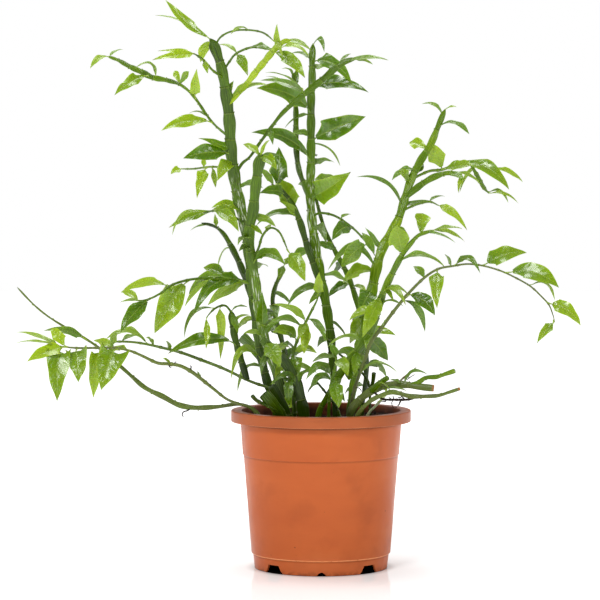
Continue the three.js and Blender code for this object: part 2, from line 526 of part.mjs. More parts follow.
        depth: [-38, -36], width: [11, 12, 12, 12, 11, 8], thick: 2.8, joint: 26, turn: [0, 0], cut: true,
        leaves: [
          [-22, 177, -50, 183, 9, 54, 0.36, -24], [-56, 227, -41, 201, 17, 70, 0.05, -20],
          [-28, 193, -31, 162, 10, 70, 0.1, 17], [-44, 214, -60, 192, 8, 54, 0.25, -20],
          [-24, 184, -4, 196, 9, 54, 0.2, -20],
        ],
      },
    ],
  },
  {
    name: "stem_right_cut",
    tone: "old",
    axes: [
      {
        path: [[26, 118], [29, 152], [37, 166], [49, 176], [60, 181], [71, 183], [85, 183], [99, 181],
          [113, 179.5]],
        depth: [-52, -56],
        width: [7, 8, 8.5, 8.5, 8, 7.5, 7], thick: 2.8, joint: 28, turn: [0, 0], cut: true,
        leaves: [
          [82, 183, 69, 188, 5, 48, 0.1, -10], [84, 183, 107, 194, 6, 48, 0.3, -10],
          [58, 180, 87, 177, 5, 44, 0.06, -14],
        ],
      },
      { // split stub on its upper side
        path: [[50, 176], [59, 185], [67, 190]],
        depth: [-62], width: [6, 6, 5], thick: 2.4, joint: 24, turn: [0, 0], cut: true, leaves: [],
      },
      { // upper cut end
        path: [[88, 183], [97, 185], [105, 190], [116, 191], [125, 194], [134, 197]],
        depth: [-66], width: [4, 5, 4.6, 5], thick: 2.4, joint: 19, turn: [0, 0], cut: true, leaves: [],
      },
      { // bare twig on its upper side
        path: [[76, 184], [85, 192], [96, 201]],
        depth: [-46], width: [2, 1.8, 1.6], thick: 1.6, joint: 9, turn: [0, 0],
        leaves: [[84, 191, 90, 189, 3, 44, 0.1, 7]],
      },
      { // dried twig below it, with its root hairs
        path: [[52, 177], [61, 169], [73, 168], [85, 168], [94, 169]],
        depth: [-60], width: [2.4, 2.2, 2.4, 2], thick: 1.8, joint: 8, turn: [0, 0],
        leaves: [],
      },
    ],
  },
  {
    name: "runner_right_cut",
    tone: "old",
    axes: [
      {
        path: [[32, 118], [35, 148], [45, 163], [57, 171], [70, 175.5], [78, 174.5], [90, 171.5],
          [109, 171.5], [119, 172.5], [128, 175.4], [139, 179]],
        depth: [-62, -74],
        width: [4, 4.4, 4.6, 5, 5, 4, 3.4], thick: 2.4, joint: 22, turn: [0, 0], cut: true,
        leaves: [[70, 175, 58, 186, 4, 44, 0.1, -8]],
      },
    ],
  },
  {
    name: "shoot_right_pale",
    tone: "old",
    axes: [
      {
        path: [[41, 118], [46, 150], [55, 162], [64, 172], [69, 178]],
        depth: [-21, -24], width: [3.4, 3.4, 3.2, 2.6], thick: 2, joint: 16, turn: [30, 30], cut: true,
        leaves: [[66, 174, 60, 190, 5, 54, 0.1, -8]],
      },
    ],
  },
  {
    name: "twig_middle_right",
    tone: "deep",
    axes: [
      {
        path: [[48, 118], [49, 172], [45, 190], [31, 204], [18, 214]],
        depth: [-7, -6], width: [2.8, 2.8, 2.6, 2.2], thick: 2, joint: 14, turn: [0, 0], cut: true,
        leaves: [],
      },
      { // short cut stub beside it
        path: [[49, 178], [52, 186], [53, 195]],
        depth: [-14], width: [3, 4, 4.6], thick: 2, joint: 20, turn: [0, 0], cut: true, leaves: [],
      },
    ],
  },
  {
    name: "twig_middle",
    tone: "deep",
    axes: [
      {
        path: [[22, 118], [19, 152], [7, 172], [-6, 188]],
        depth: [-8, -8], width: [2.8, 2.6, 2.2], thick: 2, joint: 14, turn: [0, 0], cut: true,
        leaves: [[-2, 184, -14, 174, 5, 50, 0.15, 14]],
      },
    ],
  },
  {
    name: "shoot_middle_back",
    tone: "deep",
    axes: [
      {
        path: [[-26, 118], [-29, 180], [-40, 230], [-48, 262], [-46, 280], [-40, 294], [-37, 303]],
        depth: [24, 20], fill: [170, 280, 4],
        width: [5.6, 5.6, 7, 7.8, 7, 5], thick: 2.3, joint: 22, turn: [45, 45],
        leaves: [
          [-47, 274, -30, 264, 8, 50, 0.1, 17], [-37, 302, -43, 288, 8, 64, 0.02, -10],
          [-37, 303, -27, 312, 7, 56, 0.05, 14], [-40, 232, -62, 244, 12, 56, 0.12, 31],
          [-34, 205, -14, 216, 12, 56, 0.16, 31], [-30, 186, -48, 196, 12, 54, 0.25, 34],
        ],
      },
    ],
  },
  {
    name: "shoot_middle_front",
    tone: "fresh",
    axes: [
      {
        path: [[-23, 118], [-27, 170], [-29, 200], [-26, 221], [-16, 244], [-10, 256], [-4, 268],
          [-2, 276]],
        depth: [-15, -25], width: [3, 3.4, 3.4, 3.2, 2.8, 2.2], thick: 2.1, joint: 19, turn: [0, 0],
        leaves: [
          [-25, 226, -48, 236, 15, 56, 0.2, -17], [-14, 247, -17, 214, 11, 70, 0.03, -14],
          [-16, 244, -23, 229, 9, 68, 0.03, -24], [-15, 246, -50, 264, 9, 50, 0.14, 10],
          [-18, 240, -53, 243, 9, 48, 0.2, -27], [-13, 249, 5, 226, 8, 54, 0.16, -17],
          [-27, 218, -40, 222, 10, 54, 0.14, -24], [-27, 214, -23, 192, 14, 70, 0.05, -17],
          [-26, 216, -4, 215, 10, 52, 0.16, -10], [-29, 200, -46, 190, 9, 54, 0.3, -14],
          [-3, 274, -2, 296, 10, 74, 0.02, -10],
        ],
      },
    ],
  },
  {
    name: "shoot_front_low",
    tone: "fresh",
    axes: [
      {
        path: [[7, 118], [8, 160], [10, 182], [14, 200], [16, 212]],
        depth: [-42, -50], width: [3.4, 3.4, 3.2, 2.6], thick: 2.1, joint: 17, turn: [0, 0],
        leaves: [
          [11, 190, -15, 188, 12, 54, 0.42, -17], [10, 186, -11, 178, 10, 56, 0.3, 17],
          [12, 190, 18, 160, 14, 76, 0.06, -17], [15, 210, -9, 206, 8, 46, 0.12, -14],
          [15, 208, 27, 192, 13, 64, 0.12, -20], [16, 211, 8, 226, 8, 60, 0.05, 10],
          [9, 172, 24, 166, 9, 56, 0.25, -14],
        ],
      },
    ],
  },
];

// A smooth curve through the points of a path (Catmull-Rom), as short straight pieces with their lengths.
function axisOf(stem, parents) {
  const [footX, footZ] = stem.path[0];
  const tipY = SPREAD * stem.depth.at(-1);
  const footY = stem.depth.length > 1 ? stem.depth[0] : depthAt(parents, footX, footZ);
  const run = [0];
  stem.path.slice(1).forEach(([x, z], i) => {
    run.push(run[i] + Math.hypot(x - stem.path[i][0], z - stem.path[i][1]));
  });
  const points = stem.path.map(([x, z], i) => vec(x, lerp(footY, tipY, (run[i] / run.at(-1)) ** LEAN), z));
  const dense = [];
  const last = points.length - 1;
  for (let i = 0; i < last; i++) {
    const [a, b, c] = [points[Math.max(i - 1, 0)], points[i], points[i + 1]];
    const d = points[Math.min(i + 2, last)];
    const square = a.clone().multiplyScalar(2).addScaledVector(b, -5).addScaledVector(c, 4).sub(d);
    const cube = b.clone().multiplyScalar(3).sub(a).addScaledVector(c, -3).add(d);
    for (let k = 0; k < SPAN_STEPS; k++) {
      const t = k / SPAN_STEPS;
      const point = b.clone().multiplyScalar(2).add(c.clone().sub(a).multiplyScalar(t));
      dense.push(point.addScaledVector(square, t * t).addScaledVector(cube, t ** 3).multiplyScalar(0.5));
    }
  }
  dense.push(points[last].clone());
  const reach = [0];
  for (let i = 1; i < dense.length; i++) reach.push(reach[i - 1] + dense[i].distanceTo(dense[i - 1]));
  return { dense, reach, total: reach.at(-1) };
}

// The depth of the nearest point, as seen from the front, on the axes that a branch may grow from.
function depthAt(parents, x, z) {
  const feet = parents.map((axis) => pointAt(axis, nearestOn(axis, x, z)));
  const off = feet.map((foot) => Math.hypot(foot.x - x, foot.z - z));
  return feet[off.indexOf(Math.min(...off))].y;
}

// The point at a distance along an axis.
function pointAt(axis, s) {
  const { dense, reach, total } = axis;
  const wanted = Math.min(Math.max(s, 0), total);
  let i = 1;
  while (i < reach.length - 1 && reach[i] < wanted) i++;
  return dense[i - 1].clone().lerp(dense[i], (wanted - reach[i - 1]) / (reach[i] - reach[i - 1]));
}

// The value at a share of the way along an evenly spaced list.
function along(list, share) {
  const at = Math.min(Math.max(share, 0), 1) * (list.length - 1);
  const i = Math.min(Math.floor(at), list.length - 2);
  return lerp(list[i], list[i + 1], at - i);
}

// The ribbon's directions at a distance along its axis: along it, across its flat, and out of its face.
function ribbonFrame(axis, stem, s) {
  const tangent = pointAt(axis, s + TANGENT_STEP).sub(pointAt(axis, s - TANGENT_STEP)).normalize();
  const face = vec(0, -1, 0).addScaledVector(tangent, tangent.y).normalize();
  const side = vec(0, 0, 0).crossVectors(face, tangent);
  const turn = THREE.MathUtils.degToRad(lerp(stem.turn[0], stem.turn[1], s / axis.total));
  return {
    tangent,
    side: side.clone().multiplyScalar(Math.cos(turn)).addScaledVector(face, Math.sin(turn)),
    face: face.clone().multiplyScalar(Math.cos(turn)).addScaledVector(side, -Math.sin(turn)),
  };
}

// Distances along the axis where the ribbon has a section, with its width there: a waist at each
// joint and the full width a little before the next one.
function ribbonStations(axis, stem) {
  const joints = Math.max(1, Math.round(axis.total / stem.joint));
  const step = axis.total / joints;
  const loose = Math.max(...stem.width) < LOOSE_RIBBON;
  const stations = [];
  for (let k = 0; k < joints; k++) {
    stations.push([k * step, k && !loose ? WAIST : FOOT_WAIST]);
    if (!loose) stations.push([(k + SHOULDER) * step, 1]);
  }
  stations.push([axis.total, stem.cut ? CUT_END : GROWN_END]);
  return stations.map(([s, share]) => ({ s, width: along(stem.width, s / axis.total) * share }));
}

// A closed mesh from rings of equally many points, with a fan across each end.
function loft(rings) {
  const count = rings[0].length;
  const positions = rings.flat().flatMap((p) => [p.x, p.y, p.z]);
  const index = [];
  for (let i = 0; i < rings.length - 1; i++) {
    for (let k = 0; k < count; k++) {
      const a = i * count + k;
      const b = i * count + ((k + 1) % count);
      index.push(a, b, b + count, a, b + count, a + count);
    }
  }
  const top = (rings.length - 1) * count;
  for (let k = 1; k < count - 1; k++) {
    index.push(0, k + 1, k, top, top + k, top + k + 1);
  }
  return closedGeometry(positions, index);
}

function closedGeometry(positions, index) {
  const geometry = new THREE.BufferGeometry();
  geometry.setAttribute("position", new THREE.Float32BufferAttribute(positions, 3));
  geometry.setIndex(index);
  return geometry;
}

// A ribbon's section at one station, as points round it.
function ribbonRing(axis, stem, { s, width }, corners) {
  const centre = pointAt(axis, s);
  const { side, face } = ribbonFrame(axis, stem, s);
  return corners(width).map(([x, y]) => centre.clone().addScaledVector(side, x).addScaledVector(face, y));
}

function ribbonGeometry(axis, stem) {
  const broad = Math.max(...stem.width) >= BROAD_RIBBON;
  const corners = (width) => {
    const w = width / 2;
    const h = Math.min(stem.thick, width) / 2;
    const flat = broad ? RIBBON_EDGE * width : 0;
    const upper = broad ? [[flat, h], [-flat, h]] : [[0, h]];
    return [[w, 0], ...upper, [-w, 0], ...upper.map(([x, y]) => [-x, -y])];
  };
  return loft(ribbonStations(axis, stem).map((station) => ribbonRing(axis, stem, station, corners)));
}

// The tool that cuts a stem's plain hole: four-sided, wider than the stem all round.
function holeGeometry(axis, stem) {
  const width = Math.max(...stem.width.slice(0, 3));
  const corners = () => {
    const w = width / 2 + HOLE_SIDE_GAP;
    const h = stem.thick / 2 + HOLE_GAP;
    return [[w, -h], [w, h], [-w, h], [-w, -h]];
  };
  let top = 0;
  while (pointAt(axis, top).z < HOLE_TOP) top += 1;
  const stations = [-HOLE_GAP, HOLE_BEND * top, top].map((s) => ({ s, width }));
  const rings = stations.map((station) => ribbonRing(axis, stem, station, corners));
  rings[0].forEach((p) => p.setZ(p.z - HOLE_GAP));
  return loft(rings);
}

// How far along an axis the point nearest to an x and z lies.
function nearestOn(axis, x, z) {
  let best = 0;
  let least = Infinity;
  axis.dense.forEach((p, i) => {
    const off = (p.x - x) ** 2 + (p.z - z) ** 2;
    if (off < least) [least, best] = [off, i];
  });
  return axis.reach[best];
}

// The point in the middle of the ribbon's own straight pieces, at a distance along its axis.
function insideRibbon(axis, stem, s) {
  const stations = ribbonStations(axis, stem);
  const next = Math.max(1, stations.findIndex((station) => station.s >= s));
  const [a, b] = [stations[next - 1].s, stations[next].s];
  const share = Math.min(Math.max((s - a) / (b - a), END_CLEAR), 1 - END_CLEAR);
  return pointAt(axis, a).lerp(pointAt(axis, b), share);
}

// A leaf's midrib (a quadratic curve), its width and the way its blade faces.
function leafShape(start, spec, order, shift) {
  const [, , tipX, tipZ, width, faceAngle, arch, depth, wide] = spec;
  const reach = Math.hypot(tipX - start.x, tipZ - start.z);
  const byRule = (spread(order) - 0.5) * reach;
  const tip = vec(tipX, start.y + (depth ?? byRule) + shift, tipZ);
  const chord = tip.clone().sub(start);
  const length = chord.length();
  const up = vec(0, 0, 1).addScaledVector(chord, -chord.z / (length * length));
  if (up.length() < LEAST_UP) up.set(Math.sign(chord.x || 1), 0, 0);
  up.normalize();
  const bend = start.clone().lerp(tip, BEND_AT).addScaledVector(up, 2 * arch * length);
  bend.y += SHIFT_SHARE * shift;
  const angle = THREE.MathUtils.degToRad(faceAngle);
  const outward = vec(0, -Math.sin(angle), Math.cos(angle));
  const corner = wide ?? lerp(...CORNER, spread(2 * order));
  return { start, bend, tip, length, half: width / 2, outward, corner };
}

// A place on a leaf's blade, as its share of the midrib and its half-width.
function bladeAt({ half, corner }, place) {
  const way = place < 0 ? corner * (1 + place) : lerp(corner, 1, place);
  const share = place < 0 ? lerp(1, BLADE_FOOT, -place) : (1 - place) * (1 + BULGE * place);
  return { t: STALK_SHARE + (1 - STALK_SHARE) * way, wide: share * half };
}

// A leaf's section at a share of its midrib: the point on the midrib, and the directions across and out.
function leafFrame(leaf, t) {
  const { start, bend, tip } = leaf;
  const first = start.clone().lerp(bend, t);
  const second = bend.clone().lerp(tip, t);
  const point = first.clone().lerp(second, t);
  const tangent = second.clone().sub(first).normalize();
  const across = vec(0, 0, 0).crossVectors(tangent, leaf.outward);
  if (across.length() < LEAST_ACROSS) across.addScaledVector(vec(1, 0, 0), TURN_ASIDE);
  across.normalize();
  return { point, across, out: vec(0, 0, 0).crossVectors(across, tangent) };
}

// Sample points over a leaf's blade, for keeping leaves and stems clear of each other.
function leafSamples(leaf) {
  const samples = [];
  for (const place of BLADE_SAMPLES) {
    const { t, wide } = bladeAt(leaf, place);
    const { point, across } = leafFrame(leaf, t);
    const sides = wide ? SAMPLES_ACROSS : [0];
    samples.push(...sides.map((side) => point.clone().addScaledVector(across, side * wide)));
  }
  return samples;
}

// The leaf's solid: a stalk, then a blade with a ridge along its midrib, folded up and waved at its edges.
function leafGeometry({ leaf, foot, order }) {
  const positions = [];
  const index = [];
  const put = (p) => positions.push(p.x, p.y, p.z);
  const ring = (t, half, lift, wave, thick) => {
    const { point, across, out } = leafFrame(leaf, t);
    const edge = (sign) => point.clone().addScaledVector(across, sign * half)
      .addScaledVector(out, lift * half + sign * wave * half);
    put(edge(-1));
    put(point.clone().addScaledVector(out, thick / 2));
    put(edge(1));
    put(point.clone().addScaledVector(out, -thick / 2));
  };
  const broad = 2 * leaf.half >= BROAD_LEAF;
  const blade = broad ? BROAD_BLADE : NARROW_BLADE;
  put(foot);
  if (broad) ring(STALK_SHARE, STALK_HALF, 0, 0, 2 * STALK_RADIUS);
  blade.forEach((place, i) => {
    const { t, wide } = bladeAt(leaf, place);
    ring(t, wide, FOLD, WAVE * (i % 2 ? 1 : -1) * (order % 2 ? 1 : -1), BLADE_THICK);
  });
  put(leaf.tip);
  const rings = blade.length + (broad ? 1 : 0);
  for (let i = 0; i < rings - 1; i++) {
    const [l, t, r, b, l2, t2, r2, b2] = [1, 2, 3, 4, 5, 6, 7, 8].map((k) => 4 * i + k);
    index.push(l, t2, l2, l, t, t2, l, l2, b2, l, b2, b, r, r2, t2, r, t2, t, r, b2, r2, r, b, b2);
  }
  for (const [foot, apex, flip] of [[1, 0, true], [4 * rings - 3, 4 * rings + 1, false]]) {
    for (let k = 0; k < 4; k++) {
      const edge = [foot + k, foot + ((k + 1) % 4)];
      index.push(...(flip ? edge.reverse() : edge), apex);
    }
  }
  return closedGeometry(positions, index);
}

// Leaves that a stem carries all round, turned by the golden angle from one to the next.
function fillLeaves(axis, { fill }, owner) {
  if (!fill) return [];
  const [low, high, count] = fill;
  return Array.from({ length: count }, (_, k) => {
    const z = lerp(low, high, (k + spread(k + owner)) / count);
    const x = axis.dense.find((p) => p.z >= z).x;
    const turn = (k + 3 * owner) * GOLDEN_TURN;
    const reach = lerp(...FILL_REACH, spread(k * 5 + owner));
    const rise = lerp(...FILL_RISE, spread(k * 3 + owner));
    const face = lerp(...FILL_FACE, spread(k + 2 * owner));
    const depth = FILL_DEPTH * reach * Math.sin(turn);
    return [x, z, x + reach * Math.cos(turn), z + rise * reach, FILL_WIDTH * reach, face, FILL_ARCH, depth];
  });
}

// The plant's layout. Leaves are placed in turn, and each is bent forward or back until it is clear
// of the other stems and of the leaves placed before it.
function layOut() {
  const stems = STEMS.map(({ name, tone, axes }) => {
    const grown = [];
    axes.forEach((ribbon) => {
      const parents = grown.map(({ axis }) => axis);
      grown.push({ ribbon, axis: axisOf(ribbon, parents), leaves: [] });
    });
    return { name, tone, axes: grown };
  });
  const wood = [];
  stems.forEach((stem, owner) => stem.axes.forEach(({ ribbon, axis }) => {
    for (let s = 0; s <= axis.total; s += WOOD_STEP) {
      wood.push({ owner, at: pointAt(axis, s), radius: along(ribbon.width, s / axis.total) / 2 });
    }
  }));
  const blades = [];
  let order = 0;
  stems.forEach((stem, owner) => stem.axes.forEach(({ ribbon, axis, leaves }) => {
    for (const spec of [...ribbon.leaves, ...fillLeaves(axis, ribbon, owner)]) {
      const at = nearestOn(axis, spec[0], spec[1]);
      const start = pointAt(axis, at);
      const foot = insideRibbon(axis, ribbon, Math.max(at - ROOT_DEPTH, 0.5));
      let best = null;
      for (const shift of DEPTH_TRIES) {
        const leaf = leafShape(start, spec, order, shift);
        const samples = leafSamples(leaf);
        let room = 1;
        for (const p of samples) {
          for (const w of wood) {
            if (w.owner !== owner) room = Math.min(room, (p.distanceTo(w.at) - w.radius) / STEM_CLEAR);
          }
          for (const b of blades) {
            const clear = b.owner === owner ? OWN_CLEAR : LEAF_CLEAR;
            room = Math.min(room, p.distanceTo(b.at) / clear);
          }
        }
        if (!best || room > best.room) best = { room, leaf, samples };
        if (room >= 1) break;
      }
      leaves.push({ leaf: best.leaf, foot, order });
      best.samples.forEach((at) => blades.push({ owner, at }));
      order += 1;
    }
  }));
  return stems;
}

// Moves a piece of the layout to where the viewer sees it as it is laid out: what stands before the
// plane through the pot's axis is drawn in towards the viewer, and what stands behind it is spread.
function placed(geometry) {
  const [eyeX, eyeY, eyeZ] = VIEWER;
  const place = geometry.attributes.position;
  for (let i = 0; i < place.count; i++) {
    const share = 1 - place.getY(i) / eyeY;
    place.setX(i, lerp(eyeX, place.getX(i), share));
    place.setZ(i, lerp(eyeZ, place.getZ(i), share));
  }
  return solidOf(geometry);
}

// Solids and meshes
function solidOf(geometry) {
  const bare = geometry.clone();
  bare.deleteAttribute("normal");
  bare.deleteAttribute("uv");
  const merged = mergeVertices(bare, 1e-4);
  return new wasm.Manifold(new wasm.Mesh({
    numProp: 3,
    vertProperties: new Float32Array(merged.attributes.position.array),
    triVerts: new Uint32Array(merged.index.array),
  }));
}

function geometryOf(solid) {
  const { vertProperties, triVerts } = solid.getMesh();
  const geometry = closedGeometry(Array.from(vertProperties), Array.from(triVerts));
  geometry.computeVertexNormals();
  return geometry;
}

const POT_SLIVER = 0.02; // edges shorter than this are closed up after a cut
const PLANT_SLIVER = 0.2; // the same, after leaves and stems are joined

// A join can leave a loose scrap of no volume, or seal a hollow: only the largest body is kept.
function meshOf(name, solid, material, sliver) {
  const [body] = solid.simplify(sliver).decompose().sort((a, b) => b.volume() - a.volume());
  const mesh = new THREE.Mesh(geometryOf(body), material);
  mesh.name = name;
  return mesh;
}

// The outside radius of the pot's wall at a height.
function wallAt(z) {
  const low = (z - LEDGE_HEIGHT) / (STEP_HEIGHT - LEDGE_HEIGHT);
  const high = (z - STEP_HEIGHT) / (POT_HEIGHT - STEP_HEIGHT);
  if (z > STEP_HEIGHT) return lerp(STEP_RADIUS, WALL_TOP_RADIUS, high);
  return lerp(LEDGE_RADIUS, STEP_RADIUS - STEP_INSET, low);
}

// The pot
function potSolid() {
  const underRim = POT_HEIGHT - UNDER_RIM;
  const lip = RIM_RADIUS - PLASTIC;
  const bandFoot = POT_HEIGHT - RIM_DROP;
  const floorTop = FLOOR_HEIGHT + PLASTIC;
  const profile = [
    [0, FLOOR_HEIGHT],
    [FOOT_RADIUS - FOOT_WALL + FOOT_TAPER, FLOOR_HEIGHT],
    [FOOT_RADIUS - FOOT_WALL, 0],
    [FOOT_RADIUS, 0],
    [LEDGE_RADIUS - LEDGE_INSET, LEDGE_HEIGHT - STEP_EASE],
    [LEDGE_RADIUS, LEDGE_HEIGHT],
    [STEP_RADIUS - STEP_INSET, STEP_HEIGHT - STEP_EASE],
    [STEP_RADIUS, STEP_HEIGHT],
    [wallAt(underRim), underRim],
    [lip, underRim],
    [lip, bandFoot],
    [RIM_RADIUS, bandFoot],
    [RIM_RADIUS, POT_HEIGHT - RIM_CHAMFER],
    [RIM_RADIUS - RIM_CHAMFER, POT_HEIGHT],
    [wallAt(POT_HEIGHT) - PLASTIC, POT_HEIGHT],
    [STEP_RADIUS - PLASTIC, STEP_HEIGHT],
    [STEP_RADIUS - STEP_INSET - PLASTIC, STEP_HEIGHT - STEP_EASE],
    [LEDGE_RADIUS - PLASTIC, floorTop + STEP_EASE],
    [LEDGE_RADIUS - PLASTIC - STEP_EASE, floorTop],
    [0, floorTop],
  ].map(([r, z]) => new THREE.Vector2(r, z));
  let pot = solidOf(new THREE.LatheGeometry(profile, SIDES).rotateX(Math.PI / 2));
  for (let k = 0; k < FEET; k++) {
    const turn = ((k + 0.5) * 2 * Math.PI) / FEET;
    const gap = new THREE.Shape([
      new THREE.Vector2(-FOOT_GAP / 2, -1),
      new THREE.Vector2(FOOT_GAP / 2, -1),
      new THREE.Vector2(FOOT_GAP_TOP / 2, FOOT_GAP_HEIGHT),
      new THREE.Vector2(-FOOT_GAP_TOP / 2, FOOT_GAP_HEIGHT),
    ]);
    const tool = new THREE.ExtrudeGeometry(gap, { depth: TOOL_REACH, bevelEnabled: false });
    tool.rotateX(Math.PI / 2).translate(0, FOOT_RADIUS + TOOL_REACH / 4, 0).rotateZ(turn);
    pot = pot.subtract(solidOf(tool));
    const notch = new THREE.CylinderGeometry(NOTCH_RADIUS, NOTCH_RADIUS, TOOL_REACH, BORE_SIDES);
    notch.translate(0, FOOT_RADIUS, 0).rotateZ(turn + Math.PI / FEET);
    pot = pot.subtract(solidOf(notch));
  }
  for (let k = 0; k < DRAINS; k++) {
    const turn = (k * 2 * Math.PI) / DRAINS;
    const drain = new THREE.CylinderGeometry(DRAIN_RADIUS, DRAIN_RADIUS, TOOL_REACH / 2, BORE_SIDES);
    drain.rotateX(Math.PI / 2).translate(DRAIN_CIRCLE, 0, FLOOR_HEIGHT).rotateZ(turn);
    pot = pot.subtract(solidOf(drain));
  }
  return pot;
}

// The compost: a plug that follows the pot's inside, with a crumbly top
function soilSolid() {
  const inner = (z) => wallAt(z) - PLASTIC - SOIL_GAP;
  const base = FLOOR_HEIGHT + PLASTIC + SOIL_GAP;
  const rings = [];
  const circle = (radius, height) => Array.from({ length: SIDES }, (_, k) => {
    const turn = (k * 2 * Math.PI) / SIDES;
    return vec(radius * Math.cos(turn), radius * Math.sin(turn), height(k));
  });
  rings.push(circle(inner(base) - SOIL_CHAMFER, () => base));
  rings.push(circle(inner(base), () => base + SOIL_CHAMFER));
  rings.push(circle(inner(STEP_HEIGHT - 2 * STEP_EASE), () => STEP_HEIGHT - 2 * STEP_EASE));
  rings.push(circle(inner(STEP_HEIGHT + 2 * STEP_EASE), () => STEP_HEIGHT + 2 * STEP_EASE));
  [...SOIL_RINGS].reverse().forEach((share, ring) => {
    const radius = inner(SOIL_HEIGHT) * share - (share === 1 ? SOIL_TRIM : 0);
    rings.push(circle(radius, (k) => {
      const turn = (k * 2 * Math.PI) / SIDES;
      const crumb = SOIL_RELIEF * (spread(k * 7 + ring * 31, CRUMB_STEP) - 0.5);
      const heap = SOIL_HEAP * (share * Math.max(0, Math.cos(turn - HEAP_AT))) ** 2;
      return SOIL_HEIGHT + (share === 1 ? RIM_CRUMB : 1) * crumb + heap;
    }));
  });
  return solidOf(loft(rings));
}

// Materials
const plastic = new THREE.MeshStandardMaterial({ color: 0xc4633a, roughness: 0.45, metalness: 0 });
const compost = new THREE.MeshStandardMaterial({ color: 0x3a2619, roughness: 0.95, metalness: 0 });
const GREENS = { deep: 0x3f7a24, fresh: 0x6d9f2b, old: 0x55692c };
const green = (tone) => {
  const color = GREENS[tone];
  return new THREE.MeshStandardMaterial({ color, roughness: 0.4, metalness: 0 });
};

const plant = layOut();

const group = new THREE.Group();
group.add(meshOf("pot", potSolid(), plastic, POT_SLIVER));
let soil = soilSolid();
for (const { axes } of plant) {
  soil = soil.subtract(placed(holeGeometry(axes[0].axis, axes[0].ribbon)));
}
group.add(meshOf("compost", soil, compost, POT_SLIVER));
for (const { name, tone, axes } of plant) {
  const pieces = axes.flatMap(({ ribbon, axis, leaves }) => [
    placed(ribbonGeometry(axis, ribbon)),
    ...leaves.map((leaf) => placed(leafGeometry(leaf))),
  ]);
  group.add(meshOf(name, wasm.Manifold.union(pieces), green(tone), PLANT_SLIVER));
}

const outline = new THREE.Box3().setFromObject(group);
const middle = outline.getCenter(new THREE.Vector3());
group.position.set(-middle.x, -middle.y, 0);

export default group;
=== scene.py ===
"""A potted ribbon plant, sold as amazon fern, in a terracotta-coloured plastic nursery pot.

Flat jointed green stems stand in dark compost and carry glossy, arrow-shaped leaves. The layout is
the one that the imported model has: plant positions are millimetres from the pot's own axis, X to the
viewer's right, Y away from the viewer, Z up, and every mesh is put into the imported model's frame in
metres. Surfaces are grids worked out as whole arrays.
"""

from __future__ import annotations

import logging
import math
from collections.abc import Iterator, Sequence
from dataclasses import dataclass, field
from enum import Enum

import bpy
import numpy as np
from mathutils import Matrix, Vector


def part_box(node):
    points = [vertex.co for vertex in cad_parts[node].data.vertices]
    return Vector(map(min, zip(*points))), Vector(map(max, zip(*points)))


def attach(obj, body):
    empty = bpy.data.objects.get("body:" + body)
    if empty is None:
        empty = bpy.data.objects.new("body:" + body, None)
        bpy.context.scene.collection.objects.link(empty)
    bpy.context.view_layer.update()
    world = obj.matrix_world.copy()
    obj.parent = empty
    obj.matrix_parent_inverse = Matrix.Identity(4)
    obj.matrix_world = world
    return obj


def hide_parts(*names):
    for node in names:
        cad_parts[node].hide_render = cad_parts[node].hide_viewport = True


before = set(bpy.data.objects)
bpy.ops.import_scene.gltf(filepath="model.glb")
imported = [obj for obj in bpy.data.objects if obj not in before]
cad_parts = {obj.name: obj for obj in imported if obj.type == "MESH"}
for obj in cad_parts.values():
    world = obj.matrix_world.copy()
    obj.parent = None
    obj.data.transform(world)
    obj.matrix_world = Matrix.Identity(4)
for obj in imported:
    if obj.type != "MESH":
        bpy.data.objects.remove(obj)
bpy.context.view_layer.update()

Array = np.ndarray
Colour = tuple[int, int, int]
log = logging.getLogger("potted_ribbon_plant")

MM = 0.001  # one millimetre in metres
TINY = 1e-9
BODY = "root"
GOLDEN_TURN = math.pi * (3 - math.sqrt(5))
GOLDEN_SHARE = 0.6180339887
FIRST_SHARE = 0.37
LATTICE = 32  # how many random values a noise has each way before it repeats
VIEWER = np.array([-21.0, -2750.0, 403.0])  # the camera's place, in plant millimetres


class Slot(Enum):
    """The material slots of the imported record."""

    POT = "pot_plastic"
    COMPOST = "compost"
    DEEP = "deep_green"
    FRESH = "fresh_green"
    OLD = "old_green"


# The plant's layout


@dataclass(frozen=True)
class Ribbon:
    """One flat jointed stem or side branch, in millimetres from the pot's axis.

    path is its axis from the front, as x and z. depth is y at its foot and tip, or at the tip
    alone for a side branch, before the plant is spread in depth. width is spread evenly along it.
    joint is the distance between joints, turn its turn about its own axis in degrees at foot and
    tip. fill gives two heights and how many further leaves stand all round between them. tint and
    leaf_tint go from deep green, 0, over yellow-green, 1, to silver, a painted highlight. dry is
    how brown it is, and sheath gives two heights between which silvery flakes of old sheath cling
    to it, painted with highlight streaks. A leaf is x and z of its start, x and z of its tip, its
    width, how it faces in degrees (0 level, 90 towards the viewer), its arch, its tip's depth behind
    its start, and where along the blade it is widest. The last two may be left to a rule.
    widest. The last two may be left to a rule.
    """

    path: tuple[tuple[float, float], ...]
    depth: tuple[float, ...]
    width: tuple[float, ...]
    thick: float
    joint: float
    tint: float
    leaf_tint: float
    turn: tuple[float, float] = (0, 0)
    dry: float = 0.0
    cut: bool = False
    fill: tuple[float, ...] = ()
    sheath: tuple[float, ...] = ()
    leaves: tuple[tuple[float, ...], ...] = ()


@dataclass(frozen=True)
class Stem:
    """One stem with its side branches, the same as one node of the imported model."""

    name: str
    slot: Slot
    ribbons: tuple[Ribbon, ...]


